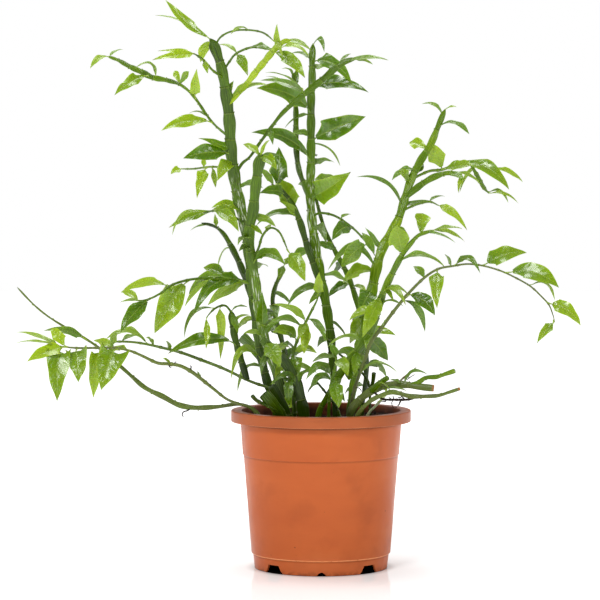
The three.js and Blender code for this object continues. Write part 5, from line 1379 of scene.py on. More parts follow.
@dataclass(frozen=True)
class RibbonFinish:
    """The skin of the flat stems: stripes, a line at each joint, flakes of silvery sheath with
    painted highlight streaks, and a darker foot, partly painted shade.
    """

    name: str = "ribbon_skin"
    deep: Colour = (34, 54, 0)
    middle: Colour = (84, 117, 2)
    young: Colour = (154, 178, 26)
    # Silver is a painted highlight: on the sheath's flakes and at the top of the tint ramp.
    silver: Colour = (206, 212, 190)
    silver_at: float = 1.4
    cloud: Grain = Grain(48)
    cloud_swing: float = 0.2
    fibre: Grain = Grain(1.6)
    fibre_cells: tuple[float, float] = (4.0, 0.3)
    fibre_swing: float = 0.8
    stripes: float = 26.0
    stripe_tint: float = 0.03
    wobble: Grain = Grain(90, 2)
    wobble_reach: float = 4.0
    flake_tint: float = 0.14
    # Stems are darker low down: partly older wood, partly painted shade low in the foliage.
    old_and_shaded_band: Band = (0.15, 0.26, -0.22, 0.0)
    joint: Colour = (160, 174, 86)
    joint_band: Band = (0.2, 0.7, 0.16)
    scar: Colour = (56, 58, 22)
    scar_at: float = 1.2
    scar_band: Band = (0.2, 0.7, 0.4)
    edge_band: Band = (0.93, 1.0, 0.0, 0.25)
    strand: Grain = Grain(1.9, 5)
    strand_cells: tuple[float, float] = (1.9, 0.45)
    flake_band: Band = (0.53, 0.64)
    flake_highlight_share: float = 0.75
    gap_band: Band = (0.36, 0.42, 0.7)
    weathered: Colour = (104, 104, 64)
    weathered_band: Band = (0.0, 0.5, 0.0, 0.85)
    withered: Colour = (150, 98, 44)
    spots: Grain = Grain(330, 3, 0.6)
    spot_band: Band = (0.72, 0.8, 0.0, 0.5)
    patches: Grain = Grain(160, 4)
    patch_swing: float = 0.8
    patch_band: Band = (0.4, 0.7)
    dead: Colour = (36, 26, 20)
    dead_band: Band = (1.1, 1.4)
    gloss_band: Band = (0.35, 0.65, 0.16, 0.3)
    relief: Grain = Grain(180, 2)
    relief_bump: Band = (0.25, 0.0008)
    stripe_bump: Band = (0.45, 0.00016)
    flake_bump: Band = (0.5, 0.0004)

    def build(self) -> bpy.types.Material:
        """Returns the material."""
        sheet = Sheet(self.name)
        across, joint, way = sheet.value("across"), sheet.value("joint"), sheet.value("along")
        flakes, dry = sheet.value("flakes"), sheet.value("dry")

        def strands(grain: Grain, cells: tuple[float, float]) -> Wire:
            """Returns streaks with so many cells across and along."""
            return sheet.streaks(grain, across * cells[0], way * cells[1])

        fibre = strands(self.fibre, self.fibre_cells)
        wobble = sheet.noise(self.wobble) * self.wobble_reach
        stripe = sheet.math("SINE", across * self.stripes + wobble)
        tint = sheet.value("tint") + sheet.noise(self.cloud).swing(self.cloud_swing)
        tint = tint + fibre.swing(self.fibre_swing) + stripe * self.stripe_tint
        # Lower down the stems are darker: partly older wood, partly painted shade low in the foliage.
        tint = tint + flakes * self.flake_tint + sheet.height().rise(*self.old_and_shaded_band)
        strand = strands(self.strand, self.strand_cells)
        flake = strand.rise(*self.flake_band) * flakes
        patches = (dry + sheet.noise(self.patches).swing(self.patch_swing)).rise(*self.patch_band)
        spots = sheet.noise(self.spots).rise(*self.spot_band)
        # The ramp ends in a silvery painted highlight.
        colours = self.deep, self.middle, self.young, self.silver
        places = [place / self.silver_at for place in (*TINTS, self.silver_at)]
        skin = sheet.lay(
            sheet.ramp(tint * (1 / self.silver_at), places, *colours),
            (abs(joint).fall(*self.joint_band), self.joint),
            (abs(joint - self.scar_at).fall(*self.scar_band), self.scar),
            (abs(across).rise(*self.edge_band), self.joint),
            # Painted highlight: silvery streaks on the sheath's flakes.
            (flake * self.flake_highlight_share, self.silver),
            (strand.fall(*self.gap_band) * flakes, self.scar),
            (dry.rise(*self.weathered_band), self.weathered),
            (sheet.math("MAXIMUM", spots, patches), self.withered),
            (dry.rise(*self.dead_band), self.dead),
        )
        sheet.set(
            Base_Color=skin, Roughness=fibre.rise(*self.gloss_band), Specular_IOR_Level=0.2,
            Coat_Weight=0.1, Coat_Roughness=0.08, Subsurface_Weight=0.08, Subsurface_Scale=0.002,
            Subsurface_Radius=PLANT_GLOW,
        )
        sheet.bump(sheet.noise(self.relief), *self.relief_bump)
        sheet.bump(stripe, *self.stripe_bump)
        sheet.bump(flake, *self.flake_bump)
        return sheet.material


@dataclass(frozen=True)
class PlasticFinish:
    """Moulded terracotta-coloured plastic with flow marks and specks, soil stains, painted highlights
    at the ledge and lip, and painted shade on the rim, in each crease and inside.

    Bands of heights are metres above the ground.
    """

    name: str = "moulded_plastic"
    deep: Colour = (178, 88, 45)
    body: Colour = (186, 94, 48)
    pale: Colour = (194, 107, 61)
    flow: Grain = Grain(9, 4, 0.55, 2.6)
    flow_places: tuple[float, float, float] = (0.3, 0.55, 0.8)
    patch: Colour = (160, 78, 40)
    patches: Grain = Grain(24, 3, 0.6)
    patch_band: Band = (0.5, 0.72, 0.0, 0.45)
    # Pale colour of a painted highlight along the ledge's and lip's moulding flash and the wall's
    # lower edge.
    flash: Colour = (234, 156, 104)
    ragged: Grain = Grain(190, 4, 0.7)
    flash_band: Band = (0.3, 0.5)
    # Heights of a painted highlight: a thin pale band at the wall's lower edge, just above the ledge.
    ridge: tuple[float, float, float, float] = (0.0140, 0.0143, 0.0152, 0.0156)
    ridge_highlight_band: Band = (0.3, 0.5, 0.2, 1.0)
    # Colour of the painted shade on the rim.
    rim_shade: Colour = (150, 82, 50)
    rim: Band = (0.1468, 0.147)
    rim_shade_band: Band = (0.3, 0.7, 0.9, 0.5)
    # Dark colour of the painted shade in each crease and inside, and of the soil splashed on the
    # foot.
    grime_and_shade: Colour = (56, 30, 20)
    crease_shades: tuple[Band, ...] = (
        (0.1438, 0.1465, 0.0, 0.75), (0.1108, 0.1131, 0.0, 0.34), (0.0118, 0.0136, 0.0, 0.25))
    crease_end: float = 0.0003
    crease_band: Band = (0.2, 0.5, 0.6, 1.0)
    speck: Colour = (96, 52, 32)
    specks: Grain = Grain(170, 2, 0.4)
    speck_band: Band = (0.765, 0.785, 0.0, 0.7)
    inside_band: Band = (0.15, 0.1578, 1.0, 0.5)
    dust: Grain = Grain(70, 5, 0.65)
    dust_band: Band = (0.3, 0.55, 0.75, 1.0)
    foot_band: Band = (0.0, 0.006, 0.4)
    splash_band: Band = (0.4, 0.6)
    scuffs: Grain = Grain(34, 6, 0.7, 0.35)
    gloss_band: Band = (0.35, 0.7, 0.3, 0.46)
    glow: tuple[float, float, float] = (1.0, 0.4, 0.2)
    waves: Grain = Grain(26)
    wave_bump: Band = (0.25, 0.0012)
    pores: Grain = Grain(900, 2)
    pore_bump: Band = (0.12, 0.0002)

    def build(self) -> bpy.types.Material:
        """Returns the material."""
        sheet = Sheet(self.name)
        height, flow, ragged = sheet.height(), sheet.noise(self.flow), sheet.noise(self.ragged)
        # Painted highlight: a thin pale band at the wall's lower edge.
        ridge = height.rise(*self.ridge[:2]) * height.fall(*self.ridge[2:])
        # Dirt and painted shade on the inside wall: patchy, and darker lower down towards the
        # compost.
        dirt_and_shade = sheet.value("inside") * height.rise(*self.inside_band)
        dirt_and_shade = dirt_and_shade * sheet.noise(self.dust).rise(*self.dust_band)
        splash = height.fall(*self.foot_band) * ragged.rise(*self.splash_band)
        # Painted shade: dark ragged lines in the crease under the rim, under the step and under the
        # ledge.
        crease_shade_masks = [
            height.rise(*crease) * height.fall(crease[1], crease[1] + self.crease_end)
            * ragged.rise(*self.crease_band) for crease in self.crease_shades]
        skin = sheet.lay(
            sheet.ramp(flow, self.flow_places, self.deep, self.body, self.pale),
            (sheet.noise(self.patches).rise(*self.patch_band), self.patch),
            # Painted highlight along the moulding flash at the ledge and the lip.
            (sheet.value("flash") * ragged.rise(*self.flash_band), self.flash),
            # Painted highlight at the wall's lower edge.
            (ridge * ragged.rise(*self.ridge_highlight_band), self.flash),
            # Painted shade on the rim, from its lower edge up, stronger where the flow noise is low.
            (height.rise(*self.rim) * flow.rise(*self.rim_shade_band), self.rim_shade),
            # Painted shade in each crease.
            *((crease, self.grime_and_shade) for crease in crease_shade_masks),
            (sheet.noise(self.specks).rise(*self.speck_band), self.speck),
            # Dirt and painted shade inside, and soil splashed on the foot.
            (sheet.math("MAXIMUM", dirt_and_shade, splash), self.grime_and_shade),
        )
        sheet.set(
            Base_Color=skin, Roughness=sheet.noise(self.scuffs).rise(*self.gloss_band),
            Specular_IOR_Level=0.12, Subsurface_Weight=0.06, Subsurface_Scale=0.002,
            Subsurface_Radius=self.glow,
        )
        sheet.bump(sheet.noise(self.waves), *self.wave_bump)
        sheet.bump(sheet.noise(self.pores), *self.pore_bump)
        return sheet.material


@dataclass(frozen=True)
class EarthFinish:
    """Peaty compost: nearly black to red-brown crumbs."""

    name: str = "peat"
    black: Colour = (20, 14, 11)
    brown: Colour = (52, 34, 24)
    bark: Colour = (104, 70, 46)
    places: tuple[float, float, float] = (0.3, 0.55, 0.85)
    crumbs: Grain = Grain(260, 6, 0.7)
    tint_swing: float = 0.6
    relief: Grain = Grain(900, 5, 0.7)
    relief_bump: Band = (0.8, 0.0012)

    def build(self) -> bpy.types.Material:
        """Returns the material."""
        sheet = Sheet(self.name)
        tone = sheet.noise(self.crumbs) + sheet.value("tint").swing(self.tint_swing)
        skin = sheet.ramp(tone, self.places, self.black, self.brown, self.bark)
        sheet.set(Base_Color=skin, Roughness=0.92, Specular_IOR_Level=0.25)
        sheet.bump(sheet.noise(self.relief), *self.relief_bump)
        return sheet.material


# The pieces


@dataclass(frozen=True)
class RibbonPiece:
    """The flat stems of one node: a lens section carried along each axis. Sizes are millimetres."""

    seed: int = 500
    seeds_a_stem: int = 20
    sides: int = 24
    loose_sides: int = 12
    step: float = 1.6
    least_sections: int = 8
    way_unit: float = 10.0
    joint_marks: tuple[float, ...] = (-1.4, -0.7, -0.3, 0, 0.3, 0.8, 1.6)
    power: float = 1.25
    rib: float = 0.22
    rib_reach: float = 0.16
    swell: float = 0.3
    swell_reach: float = 1.3
    tip_reach: float = 1.2
    tip_taper: float = 6.0
    tip_thick: float = 0.35
    thickest: float = 0.9
    roundest: float = 0.98
    tip_least: float = 0.01
    collar: float = 0.28
    collar_reach: float = 0.5
    wave: float = 0.35
    wave_length: float = 17.0
    wave_half: float = 6.0
    tone_spread: float = 0.09
    cut_reach: float = 3.2
    sheath_ease: float = 9.0
    bud_sides: int = 6
    bud_length: float = 2.4
    bud_half: float = 0.6
    bud_flat: float = 0.7
    bud_sunk: float = 0.5
    bud_way: tuple[float, float] = (0.85, 0.5)
    bud_places: tuple[float, ...] = (0.0, 0.35, 0.7, 1.0)
    bud_radii: tuple[float, ...] = (1.0, 0.95, 0.55, 0.1)
    bud_tint: float = 0.2
    bud_dry: float = 0.3
    dry_buds: int = 3
    bud_across: float = 0.5
    off_joint: float = 5.0

    def places(self, axis: Axis) -> Array:
        """Returns the distances of the sections: even along the axis, and close at each joint."""
        even = np.linspace(0, axis.total, max(self.least_sections, int(axis.total / self.step)))
        joints = np.arange(1, axis.joints)[:, None] * axis.gap
        close = (joints + np.array(self.joint_marks)).ravel()
        return np.unique(np.concatenate([even, close]).clip(0, axis.total).round(4))

    def share(self, axis: Axis, s: Array, signed: Array) -> Array:
        """The ribbon's width as a share of its full width at distances s.

        Args:
            axis: the ribbon's axis.
            s: distances along it.
            signed: distances past the nearest joint.

        Returns:
            The shares: eased through the waists and shoulders, swollen at the joints of a thin
            stem, and rounded off at a grown tip.
        """
        share = eased(s, *axis.stations())
        if axis.loose:
            share = share * (1 + self.swell * bell(signed, self.swell_reach))
        if not axis.ribbon.cut:
            left = np.clip((axis.total - s) / (self.tip_reach * axis.ribbon.width[-1]), 0, 1)
            share = share * np.sqrt(np.maximum(1 - (1 - left) ** 2, self.tip_least))
        return share

    def add(self, shell: Shell, axis: Axis, seed: int) -> None:
        """Carries the section along one axis.

        The section runs round an angle: x is its cosine times the half-width, and y is a power of
        the sine times the half-thickness, with a low ridge where x is small.

        Args:
            shell: where it goes.
            axis: the axis.
            seed: which ribbon it is.
        """
        ribbon, total, joints, gap = axis.ribbon, axis.total, axis.joints, axis.gap
        s = self.places(axis)
        k = np.round(s / gap)
        signed = np.where((k > 0) & (k < joints), s - k * gap, gap)
        width = along(ribbon.width, s / total)
        half = width * self.share(axis, s, signed) / 2
        thick = np.minimum(ribbon.thick, self.thickest * width) / 2
        if not ribbon.cut:
            thick = thick * np.clip((total - s) / self.tip_taper + self.tip_thick, 0, 1)
        thick = thick * (1 + self.collar * bell(signed, self.collar_reach))
        thick = np.minimum(thick, self.roundest * half)
        angle = turns(self.loose_sides if axis.loose else self.sides)
        x = np.cos(angle)
        y = np.sign(np.sin(angle)) * np.abs(np.sin(angle)) ** self.power
        y = y + np.sign(y) * self.rib * bell(x, self.rib_reach)
        wave = self.wave * np.sin(s / self.wave_length + seed) * half / self.wave_half
        _, across, face = axis.directions(s)
        rings = axis.at(s)[:, None] + across[:, None] * (half[:, None] * x)[..., None]
        rings = rings + face[:, None] * (thick[:, None] * y + wave[:, None] * x**2)[..., None]
        rng = np.random.default_rng(self.seed + seed)
        tones = rng.uniform(-self.tone_spread, self.tone_spread, joints + 2)
        tint = ribbon.tint + tones[np.clip(np.ceil(s / gap).astype(int), 0, joints + 1)]
        cut = np.clip(1 - (total - s) / self.cut_reach, 0, 1) * (ribbon.cut and ribbon.dry > 0)
        z = axis.at(s)[:, 2]
        low, high = ribbon.sheath or (0.0, 0.0)
        flakes = np.clip((z - low) / self.sheath_ease, 0, 1)
        flakes = flakes * np.clip((high - z) / self.sheath_ease, 0, 1)
        shell.loft(
            rings, across=x[None], along=(s / self.way_unit)[:, None], joint=signed[:, None],
            flakes=flakes[:, None], tint=tint[:, None], dry=np.maximum(ribbon.dry, cut)[:, None],
        )
        if not axis.loose and joints > 1:
            at = np.arange(1, joints) * gap
            self._buds(shell, axis, at, np.interp(at, s, half) - self.bud_sunk, seed)

    def _buds(self, shell: Shell, axis: Axis, at: Array, reach: Array, seed: int) -> None:
        """Adds the small pointed buds at the ribbon's edge above each joint, on alternate sides.

        Args:
            shell: where they go.
            axis: the ribbon's axis.
            at: how far along it each bud sits.
            reach: how far from it each bud's foot lies.
            seed: which ribbon it is.
        """
        tangent, across, face = axis.directions(at)
        centre = axis.at(at)
        turn = turns(self.bud_sides)[:, None]
        length = self.bud_length * np.array(self.bud_places)[:, None]
        radius = self.bud_half * np.array(self.bud_radii)[:, None, None]
        for k in range(len(at)):
            side = across[k] * (1 if (k + seed) % 2 else -1)
            way = unit(tangent[k] * self.bud_way[0] + side * self.bud_way[1])
            ring = np.cross(way, face[k]) * np.cos(turn) + face[k] * np.sin(turn) * self.bud_flat
            middle = centre[k] + side * reach[k] + way * length
            shell.loft(
                middle[:, None] + ring * radius, across=self.bud_across, joint=self.off_joint,
                tint=axis.ribbon.tint + self.bud_tint, dry=self.bud_dry * (k % self.dry_buds == 0),
            )

    def build(
        self, stem: Stem, branches: Sequence[Branch], number: int, skin: bpy.types.Material,
    ) -> None:
        """Builds the stem's ribbons as one piece.

        Args:
            stem: the stem.
            branches: its branches.
            number: which stem it is.
            skin: the finish.
        """
        shell = Shell(("across", "along", "joint", "flakes", "tint", "dry"), laid_out=True)
        axes = [branch.axis for branch in branches]
        axes += [Axis.grow(ribbon, axes) for ribbon in HAIRS.get(stem.name, ())]
        for k, axis in enumerate(axes):
            self.add(shell, axis, number * self.seeds_a_stem + k)
        hand_over(shell.build(f"{stem.name}_ribbons", skin), stem.slot, stem.name)


@dataclass(frozen=True)
class LeafPiece:
    """The leaves of one node: thin closed blades on round stalks. Sizes are millimetres."""

    rows: int = 24
    small_rows: int = 16
    least_rows: int = 4
    row_power: float = 1.15
    columns: tuple[float, ...] = (0.0, 0.09, 0.3, 0.56, 0.8, 1.0)
    small_columns: tuple[float, ...] = (0.0, 0.16, 0.5, 0.8, 1.0)
    thick: float = 0.5
    edge_thick: float = 0.16
    edge_power: int = 3
    bulge: tuple[float, float] = (0.5, 1.3)
    least_half: float = 0.012
    ripple: float = 0.07
    ripples: tuple[float, float] = (1.6, 2.6)
    side_phase: float = 2.0
    fold: float = 0.2
    fold_power: float = 1.4
    wave: float = 0.15
    waves: tuple[float, float] = (1.2, 2.4)
    lifts: tuple[float, float] = (0.4, 1.5)
    curl: float = 0.03
    curl_at: float = 0.72
    twist: float = 0.35
    barb: float = 0.16
    barb_reach: float = 0.2
    skew: float = 0.3
    arrow: float = 0.1
    arrow_barb: float = 0.42
    arrow_lift: float = 0.3
    groove_reach: float = 0.1
    groove: float = 0.22
    keel: float = 0.4
    tone_spread: float = 0.14
    way_tint: float = 0.16
    edge_tint: float = 0.05
    top_sheen: float = 0.8
    top_sheen_range: tuple[float, float] = (0.5, 0.85)
    crinkle: tuple[float, float] = (0.15, 1.0)
    crinkle_range: tuple[float, float] = (0.35, 0.65)
    dead_tip: float = 0.97
    dead_share: float = 0.25
    dead_dry: float = 0.9
    tint_middle: float = 0.4
    thin_half: float = 1.2
    thin_share: float = 0.3
    small_stalk: float = 0.07
    stalk_radius: float = 0.75
    small_radius: float = 0.525
    stalk_bend: float = 0.4
    stalk_lap: float = 0.03
    stalk_taper: tuple[float, float] = (1.25, 0.7)
    stalk_rings: int = 6
    stalk_sides: int = 8
    stalk_tint: float = 0.12
    stalk_across: float = 0.4
    stalk_under: float = 0.3

    def stalk_share(self, leaf: Leaf) -> float:
        """Returns how much of the midrib is stalk."""
        return RULES.stalk_share if leaf.broad else self.small_stalk

    def blade(self, shell: Shell, leaf: Leaf) -> None:
        """Adds a leaf's blade.

        On a grid of places along and ways across: the point on the midrib, plus the way across
        times the outline's half-width with ripples at the margin. A lift grows with a power of the
        way across, with waves at the margin, a groove over the midrib and a keel under it. Near
        the corners the margin slips back towards the foot, as barbs, and one side slips further
        than the other. The whole turns slowly about the midrib, and the tip curls down.

        Args:
            shell: where it goes.
            leaf: the leaf.
        """
        rng = np.random.default_rng(leaf.order)
        side = np.array(self.columns if leaf.broad else self.small_columns)
        v = np.concatenate([-side[:0:-1], side])
        rows = self.rows if leaf.broad else self.small_rows
        low = max(self.least_rows, round(rows * leaf.corner))
        upper = np.linspace(0, 1, rows - low) ** self.row_power
        place = np.concatenate([np.linspace(-1, 0, low, endpoint=False), upper])
        way, outline = leaf.outline(place)
        p = np.maximum(place, 0)
        outline = outline * (1 + rng.uniform(*self.bulge) * p) / (1 + RULES.bulge * p)
        point, tangent, across, out = leaf.along(mix(self.stalk_share(leaf), 1, way))
        turn = (rng.uniform(-self.twist, self.twist) * way)[:, None]
        across, out = turned(across, out, turn)
        far, p, w = np.abs(v)[None], place[:, None], way[:, None]
        phase = rng.uniform(0, 2 * np.pi) + self.side_phase * (v > 0)[None]
        ripple = self.ripple * np.sin(2 * np.pi * rng.uniform(*self.ripples) * w + phase)
        half = leaf.half * np.maximum(outline, self.least_half)[:, None] * (1 + ripple * far)
        lift = self.fold * rng.uniform(*self.lifts) * half * far**self.fold_power
        waves = np.sin(2 * np.pi * rng.uniform(*self.waves) * w + phase)
        lift = lift + self.wave * rng.uniform(*self.lifts) * half * far**2 * waves
        curled = np.clip((w - self.curl_at) / (1 - self.curl_at), 0, 1) ** 2
        arrow = leaf.corner < self.arrow
        near = leaf.half * far**2 * bell(p, self.barb_reach)
        barb = self.arrow_barb if arrow else self.barb
        slip = near * (barb + self.skew * rng.uniform(-1, 1) * np.sign(v)[None])
        lift = lift - self.curl * leaf.length * curled + arrow * self.arrow_lift * near
        base = point[:, None] + across[:, None] * (half * v)[..., None]
        base = base - tangent[:, None] * slip[..., None]
        groove = bell(v, self.groove_reach)[None] * (1 - w)
        thin = np.minimum(1, half / self.thin_half + self.thin_share)
        skin = mix(self.thick, self.edge_thick, far**self.edge_power) / 2 * thin
        top = base + out[:, None] * (lift + skin - self.groove * groove)[..., None]
        low = base + out[:, None] * (lift - skin - self.keel * groove)[..., None]
        ring_v = np.concatenate([v, v[-2:0:-1]])
        # Painted sheen: tops of leaves that face upwards take part of the underside's pale colour.
        pale = np.interp(leaf.outward[2], self.top_sheen_range, (0, self.top_sheen))
        under = np.concatenate([np.full(len(v), pale), np.ones(len(v) - 2)])
        drop = (leaf.start[2] - leaf.tip[2]) / leaf.length
        tone = leaf.tint + rng.normal(0, self.tone_spread) + self.way_tint * (w - self.tint_middle)
        dead = self.dead_dry * (w > self.dead_tip) * (rng.random() < self.dead_share)
        shell.loft(
            np.concatenate([top, low[:, -2:0:-1]], axis=1), rim=np.abs(ring_v) == 1,
            across=ring_v[None], along=w, under=under[None],
            tint=tone + self.edge_tint * np.abs(ring_v)[None], dry=np.clip(leaf.dry + dead, 0, 1),
            crinkle=np.interp(drop, self.crinkle_range, self.crinkle),
        )

    def stalk(self, shell: Shell, leaf: Leaf) -> None:
        """Adds a leaf's round stalk, on a quadratic curve from inside the ribbon to the blade."""
        share = self.stalk_share(leaf)
        middle, end = leaf.along(np.array([share * self.stalk_bend, share + self.stalk_lap]))[0]
        path = arc(leaf.foot, middle, end, self.stalk_rings)
        way = unit(np.gradient(path, axis=0))
        side = unit(np.cross(way, leaf.outward))[:, None]
        turn = turns(self.stalk_sides)[None, :, None]
        ring = side * np.cos(turn) + np.cross(side, way[:, None]) * np.sin(turn)
        radius = self.stalk_radius if leaf.broad else self.small_radius
        taper = np.linspace(*self.stalk_taper, self.stalk_rings)[:, None, None]
        shell.loft(
            path[:, None] + ring * radius * taper, across=self.stalk_across,
            under=self.stalk_under, tint=leaf.tint + self.stalk_tint, dry=leaf.dry,
        )

    def build(self, stem: Stem, branches: Sequence[Branch], skin: bpy.types.Material) -> int:
        """Builds the stem's leaves as one piece.

        Args:
            stem: the stem.
            branches: its branches.
            skin: the finish.

        Returns:
            How many leaves it has.
        """
        leaves = [leaf for branch in branches for leaf in branch.leaves]
        if leaves:
            shell = Shell(("across", "along", "under", "tint", "dry", "crinkle"), laid_out=True)
            for leaf in leaves:
                self.blade(shell, leaf)
                self.stalk(shell, leaf)
            hand_over(shell.build(f"{stem.name}_leaves", skin), stem.slot, stem.name)
        return len(leaves)


@dataclass(frozen=True)
class NurseryPot:
    """The moulded pot: one closed skin turned about its axis, with its feet cut out from below.

    Sizes are millimetres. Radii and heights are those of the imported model's pot.
    """

    rim_radius: float = 90.0
    height: float = 158.0
    rim_drop: float = 11.0
    plastic: float = 1.7
    wall_top: float = 81.4
    step_height: float = 114.0
    step_radius: float = 78.4
    step_inset: float = 0.9
    ledge_height: float = 15.0
    ledge_radius: float = 69.7
    ledge_inset: float = 1.6
    foot_radius: float = 66.5
    foot_wall: float = 2.2
    foot_taper: float = 1.4
    floor: float = 12.4
    under_rim: float = 2.4
    ease: float = 1.0
    feet: int = 4
    gap: float = 21.0
    gap_top: float = 15.0
    gap_height: float = 8.0
    notch: float = 3.6
    notch_facets: int = 13
    edge_marks: tuple[float, ...] = (-0.8, -0.25, 0, 0.25, 0.8)
    facets: int = 176
    least_facet: float = 0.006
    corner_points: int = 5
    inside_corners: int = 4
    run_in: float = 3.0
    drains: int = 8
    drain_radius: float = 5.0
    drain_circle: float = 50.0
    drain_facets: int = 32
    drain_past: float = 3.0
    flash_seed: int = 5
    flash_cell: float = 2.2
    flash_relief: float = 0.16
    ledge_flash: tuple[float, float] = (-0.4, 0.35)
    lip_flash: float = 0.4
    lip_width: float = 0.8
    corner_share: float = 0.3
    beside_corner: float = 1.6
    outer_wall: float = 0.6
    lift_slack: tuple[float, float] = (1.0, 0.9)

    def wall_at(self, z: float) -> float:
        """Returns the outside radius of the wall at a height."""
        if z > self.step_height:
            share = (z - self.step_height) / (self.height - self.step_height)
            return mix(self.step_radius, self.wall_top, share)
        share = (z - self.ledge_height) / (self.step_height - self.ledge_height)
        return mix(self.ledge_radius, self.step_radius - self.step_inset, share)

    def cut_height(self, turn: Array) -> Array:
        """How high the foot ring is cut away at each turn about the axis.

        A gap is a trapezium centred between two feet, and a notch is a half circle under each foot.

        Args:
            turn: angles in radians.

        Returns:
            Heights in millimetres.
        """
        step = 2 * np.pi / self.feet
        off = np.abs(turn % step - step / 2)
        slope = self.gap_height / ((self.gap - self.gap_top) / 2)
        gap = np.clip((self.gap / 2 - off * self.foot_radius) * slope, 0, self.gap_height)
        from_notch = (step / 2 - off) * self.foot_radius
        return np.maximum(gap, np.sqrt(np.clip(self.notch**2 - from_notch**2, 0, None)))

    def facet_turns(self) -> Array:
        """Returns the angles of the pot's facets, with more of them where the feet's edges are."""
        step = 2 * np.pi / self.feet
        edges = np.array([self.gap / 2, self.gap_top / 2])[:, None] + np.array(self.edge_marks)
        near = edges.ravel() / self.foot_radius
        notch = step / 2 + np.linspace(-1, 1, self.notch_facets) * self.notch / self.foot_radius
        local = np.concatenate([near, -near, notch])
        extra = (local + np.arange(self.feet)[:, None] * step).ravel() % (2 * np.pi)
        even = turns(self.facets)
        apart = np.abs((even[:, None] - extra + np.pi) % (2 * np.pi) - np.pi).min(axis=1)
        return np.sort(np.concatenate([even[apart > self.least_facet], extra]))

    def outline(self) -> Array:
        """Returns the section's corners, from under the floor round: radius, height, rounding."""
        under = self.height - self.under_rim
        lip = self.rim_radius - self.plastic
        band = self.height - self.rim_drop
        foot = self.foot_radius - self.foot_wall
        below = self.step_height - self.ease
        narrow = self.step_radius - self.step_inset
        return np.array([
            (foot + self.foot_taper, self.floor, 0.5),
            (foot, 0, 0.5),
            (self.foot_radius, 0, 0.5),
            (self.ledge_radius - self.ledge_inset, self.ledge_height - self.ease, 0.25),
            (self.ledge_radius, self.ledge_height, 0.3),
            (narrow, below, 0.25),
            (self.step_radius, self.step_height, 0.3),
            (self.wall_at(under), under, 0.6),
            (lip, under, 0.6),
            (lip, band, 0.4),
            (self.rim_radius, band, 0.5),
            (self.rim_radius, self.height, 1.2),
            (self.wall_at(self.height) - self.plastic, self.height, 0.9),
            (self.step_radius - self.plastic, self.step_height, 0.6),
            (narrow - self.plastic, below, 0.6),
            (self.ledge_radius - self.plastic, self.floor + self.plastic, 1.2),
        ])

    def section(self) -> Array:
        """The section with rounded corners and a point beside each, as radius and height.

        A corner is a quadratic curve from its rounding before it to its rounding after it.

        Returns:
            The points.
        """
        corners, rounding = self.outline()[:, :2], self.outline()[:, 2]
        before = np.vstack([corners[:1] - [self.run_in, 0], corners[:-1]])
        after = np.vstack([corners[1:], corners[-1:] - [self.run_in, 0]])
        points = []
        for here, back, on, size in zip(corners, before, after, rounding):
            inward, outward = back - here, on - here
            shorter = min(np.linalg.norm(inward), np.linalg.norm(outward))
            near = min(size, self.corner_share * shorter)
            inward, outward = unit(inward) * near, unit(outward) * near
            curve = arc(here + inward, here, here + outward, self.corner_points)
            beside = [here + way * self.beside_corner for way in (inward, outward)]
            points.append(np.vstack([beside[0], curve, beside[1]]))
        return np.vstack(points)

    def build(self, plastic: bpy.types.Material) -> None:
        """Turns the section about the axis, raises the foot ring at its gaps, and bores the drains.

        A point below the ledge at height z goes to cut + z (ledge - cut) / ledge, and its radius
        follows the foot's taper.

        Args:
            plastic: the finish.
        """
        radius, height = self.section().T[..., None]
        turn = self.facet_turns()
        cut = self.cut_height(turn)
        outer = radius >= self.foot_radius - self.outer_wall * self.foot_wall
        limit = np.where(outer, self.ledge_height - self.lift_slack[1], self.floor)
        foot = self.foot_radius - self.foot_wall - self.lift_slack[0]
        low = (height < limit) & (radius > foot)
        lifted = np.where(low, cut * (1 - height / limit), 0)
        taper = self.ledge_radius - self.ledge_inset - self.foot_radius
        taper = taper / (self.ledge_height - self.ease)
        last = self.inside_corners * (self.corner_points + 2)
        inside = np.arange(len(height)) >= len(height) - last
        radius = radius + lifted * np.where(outer, taper, self.foot_taper / self.floor)
        height = height + lifted
        # The ledge's and lip's edges get a ragged moulding flash in the shape and a painted highlight
        # in the finish.
        ledge = bell(height - self.ledge_height - self.ledge_flash[0], self.ledge_flash[1])
        lip = bell(height - self.height + self.rim_drop, self.lip_flash)
        lip = lip * (radius > self.rim_radius - self.lip_width)
        flash = ledge * (radius > self.foot_radius) + lip
        ragged = value_noise(round_points(radius, turn, height), self.flash_cell, self.flash_seed)
        shell = Shell(("flash", "inside"))
        shell.loft(
            round_points(radius + self.flash_relief * ragged * flash, turn, height),
            flash=np.clip(flash, 0, 1), inside=inside[:, None],
        )
        pot = shell.build("pot_shell", plastic)
        self._bore(pot)
        hand_over(pot, Slot.POT, "pot")

    def _bore(self, pot: bpy.types.Object) -> None:
        """Cuts the drain holes through the floor with a Boolean, applied at once."""
        tool = Shell()
        ends = self.floor + np.array([[-self.drain_past], [self.plastic + self.drain_past]])
        for at in turns(self.drains):
            centre = np.array([math.cos(at), math.sin(at), 0]) * self.drain_circle
            tool.loft(round_points(self.drain_radius, turns(self.drain_facets), ends) + centre)
        cutter = tool.build("drain_tool", pot.data.materials[0])
        cut = pot.modifiers.new("drains", "BOOLEAN")
        cut.operation, cut.solver, cut.object = "DIFFERENCE", "EXACT", cutter
        bpy.context.view_layer.update()
        seen = pot.evaluated_get(bpy.context.evaluated_depsgraph_get())
        bored = bpy.data.meshes.new_from_object(seen)
        pot.modifiers.clear()
        pot.data = bored
        bpy.data.objects.remove(cutter)


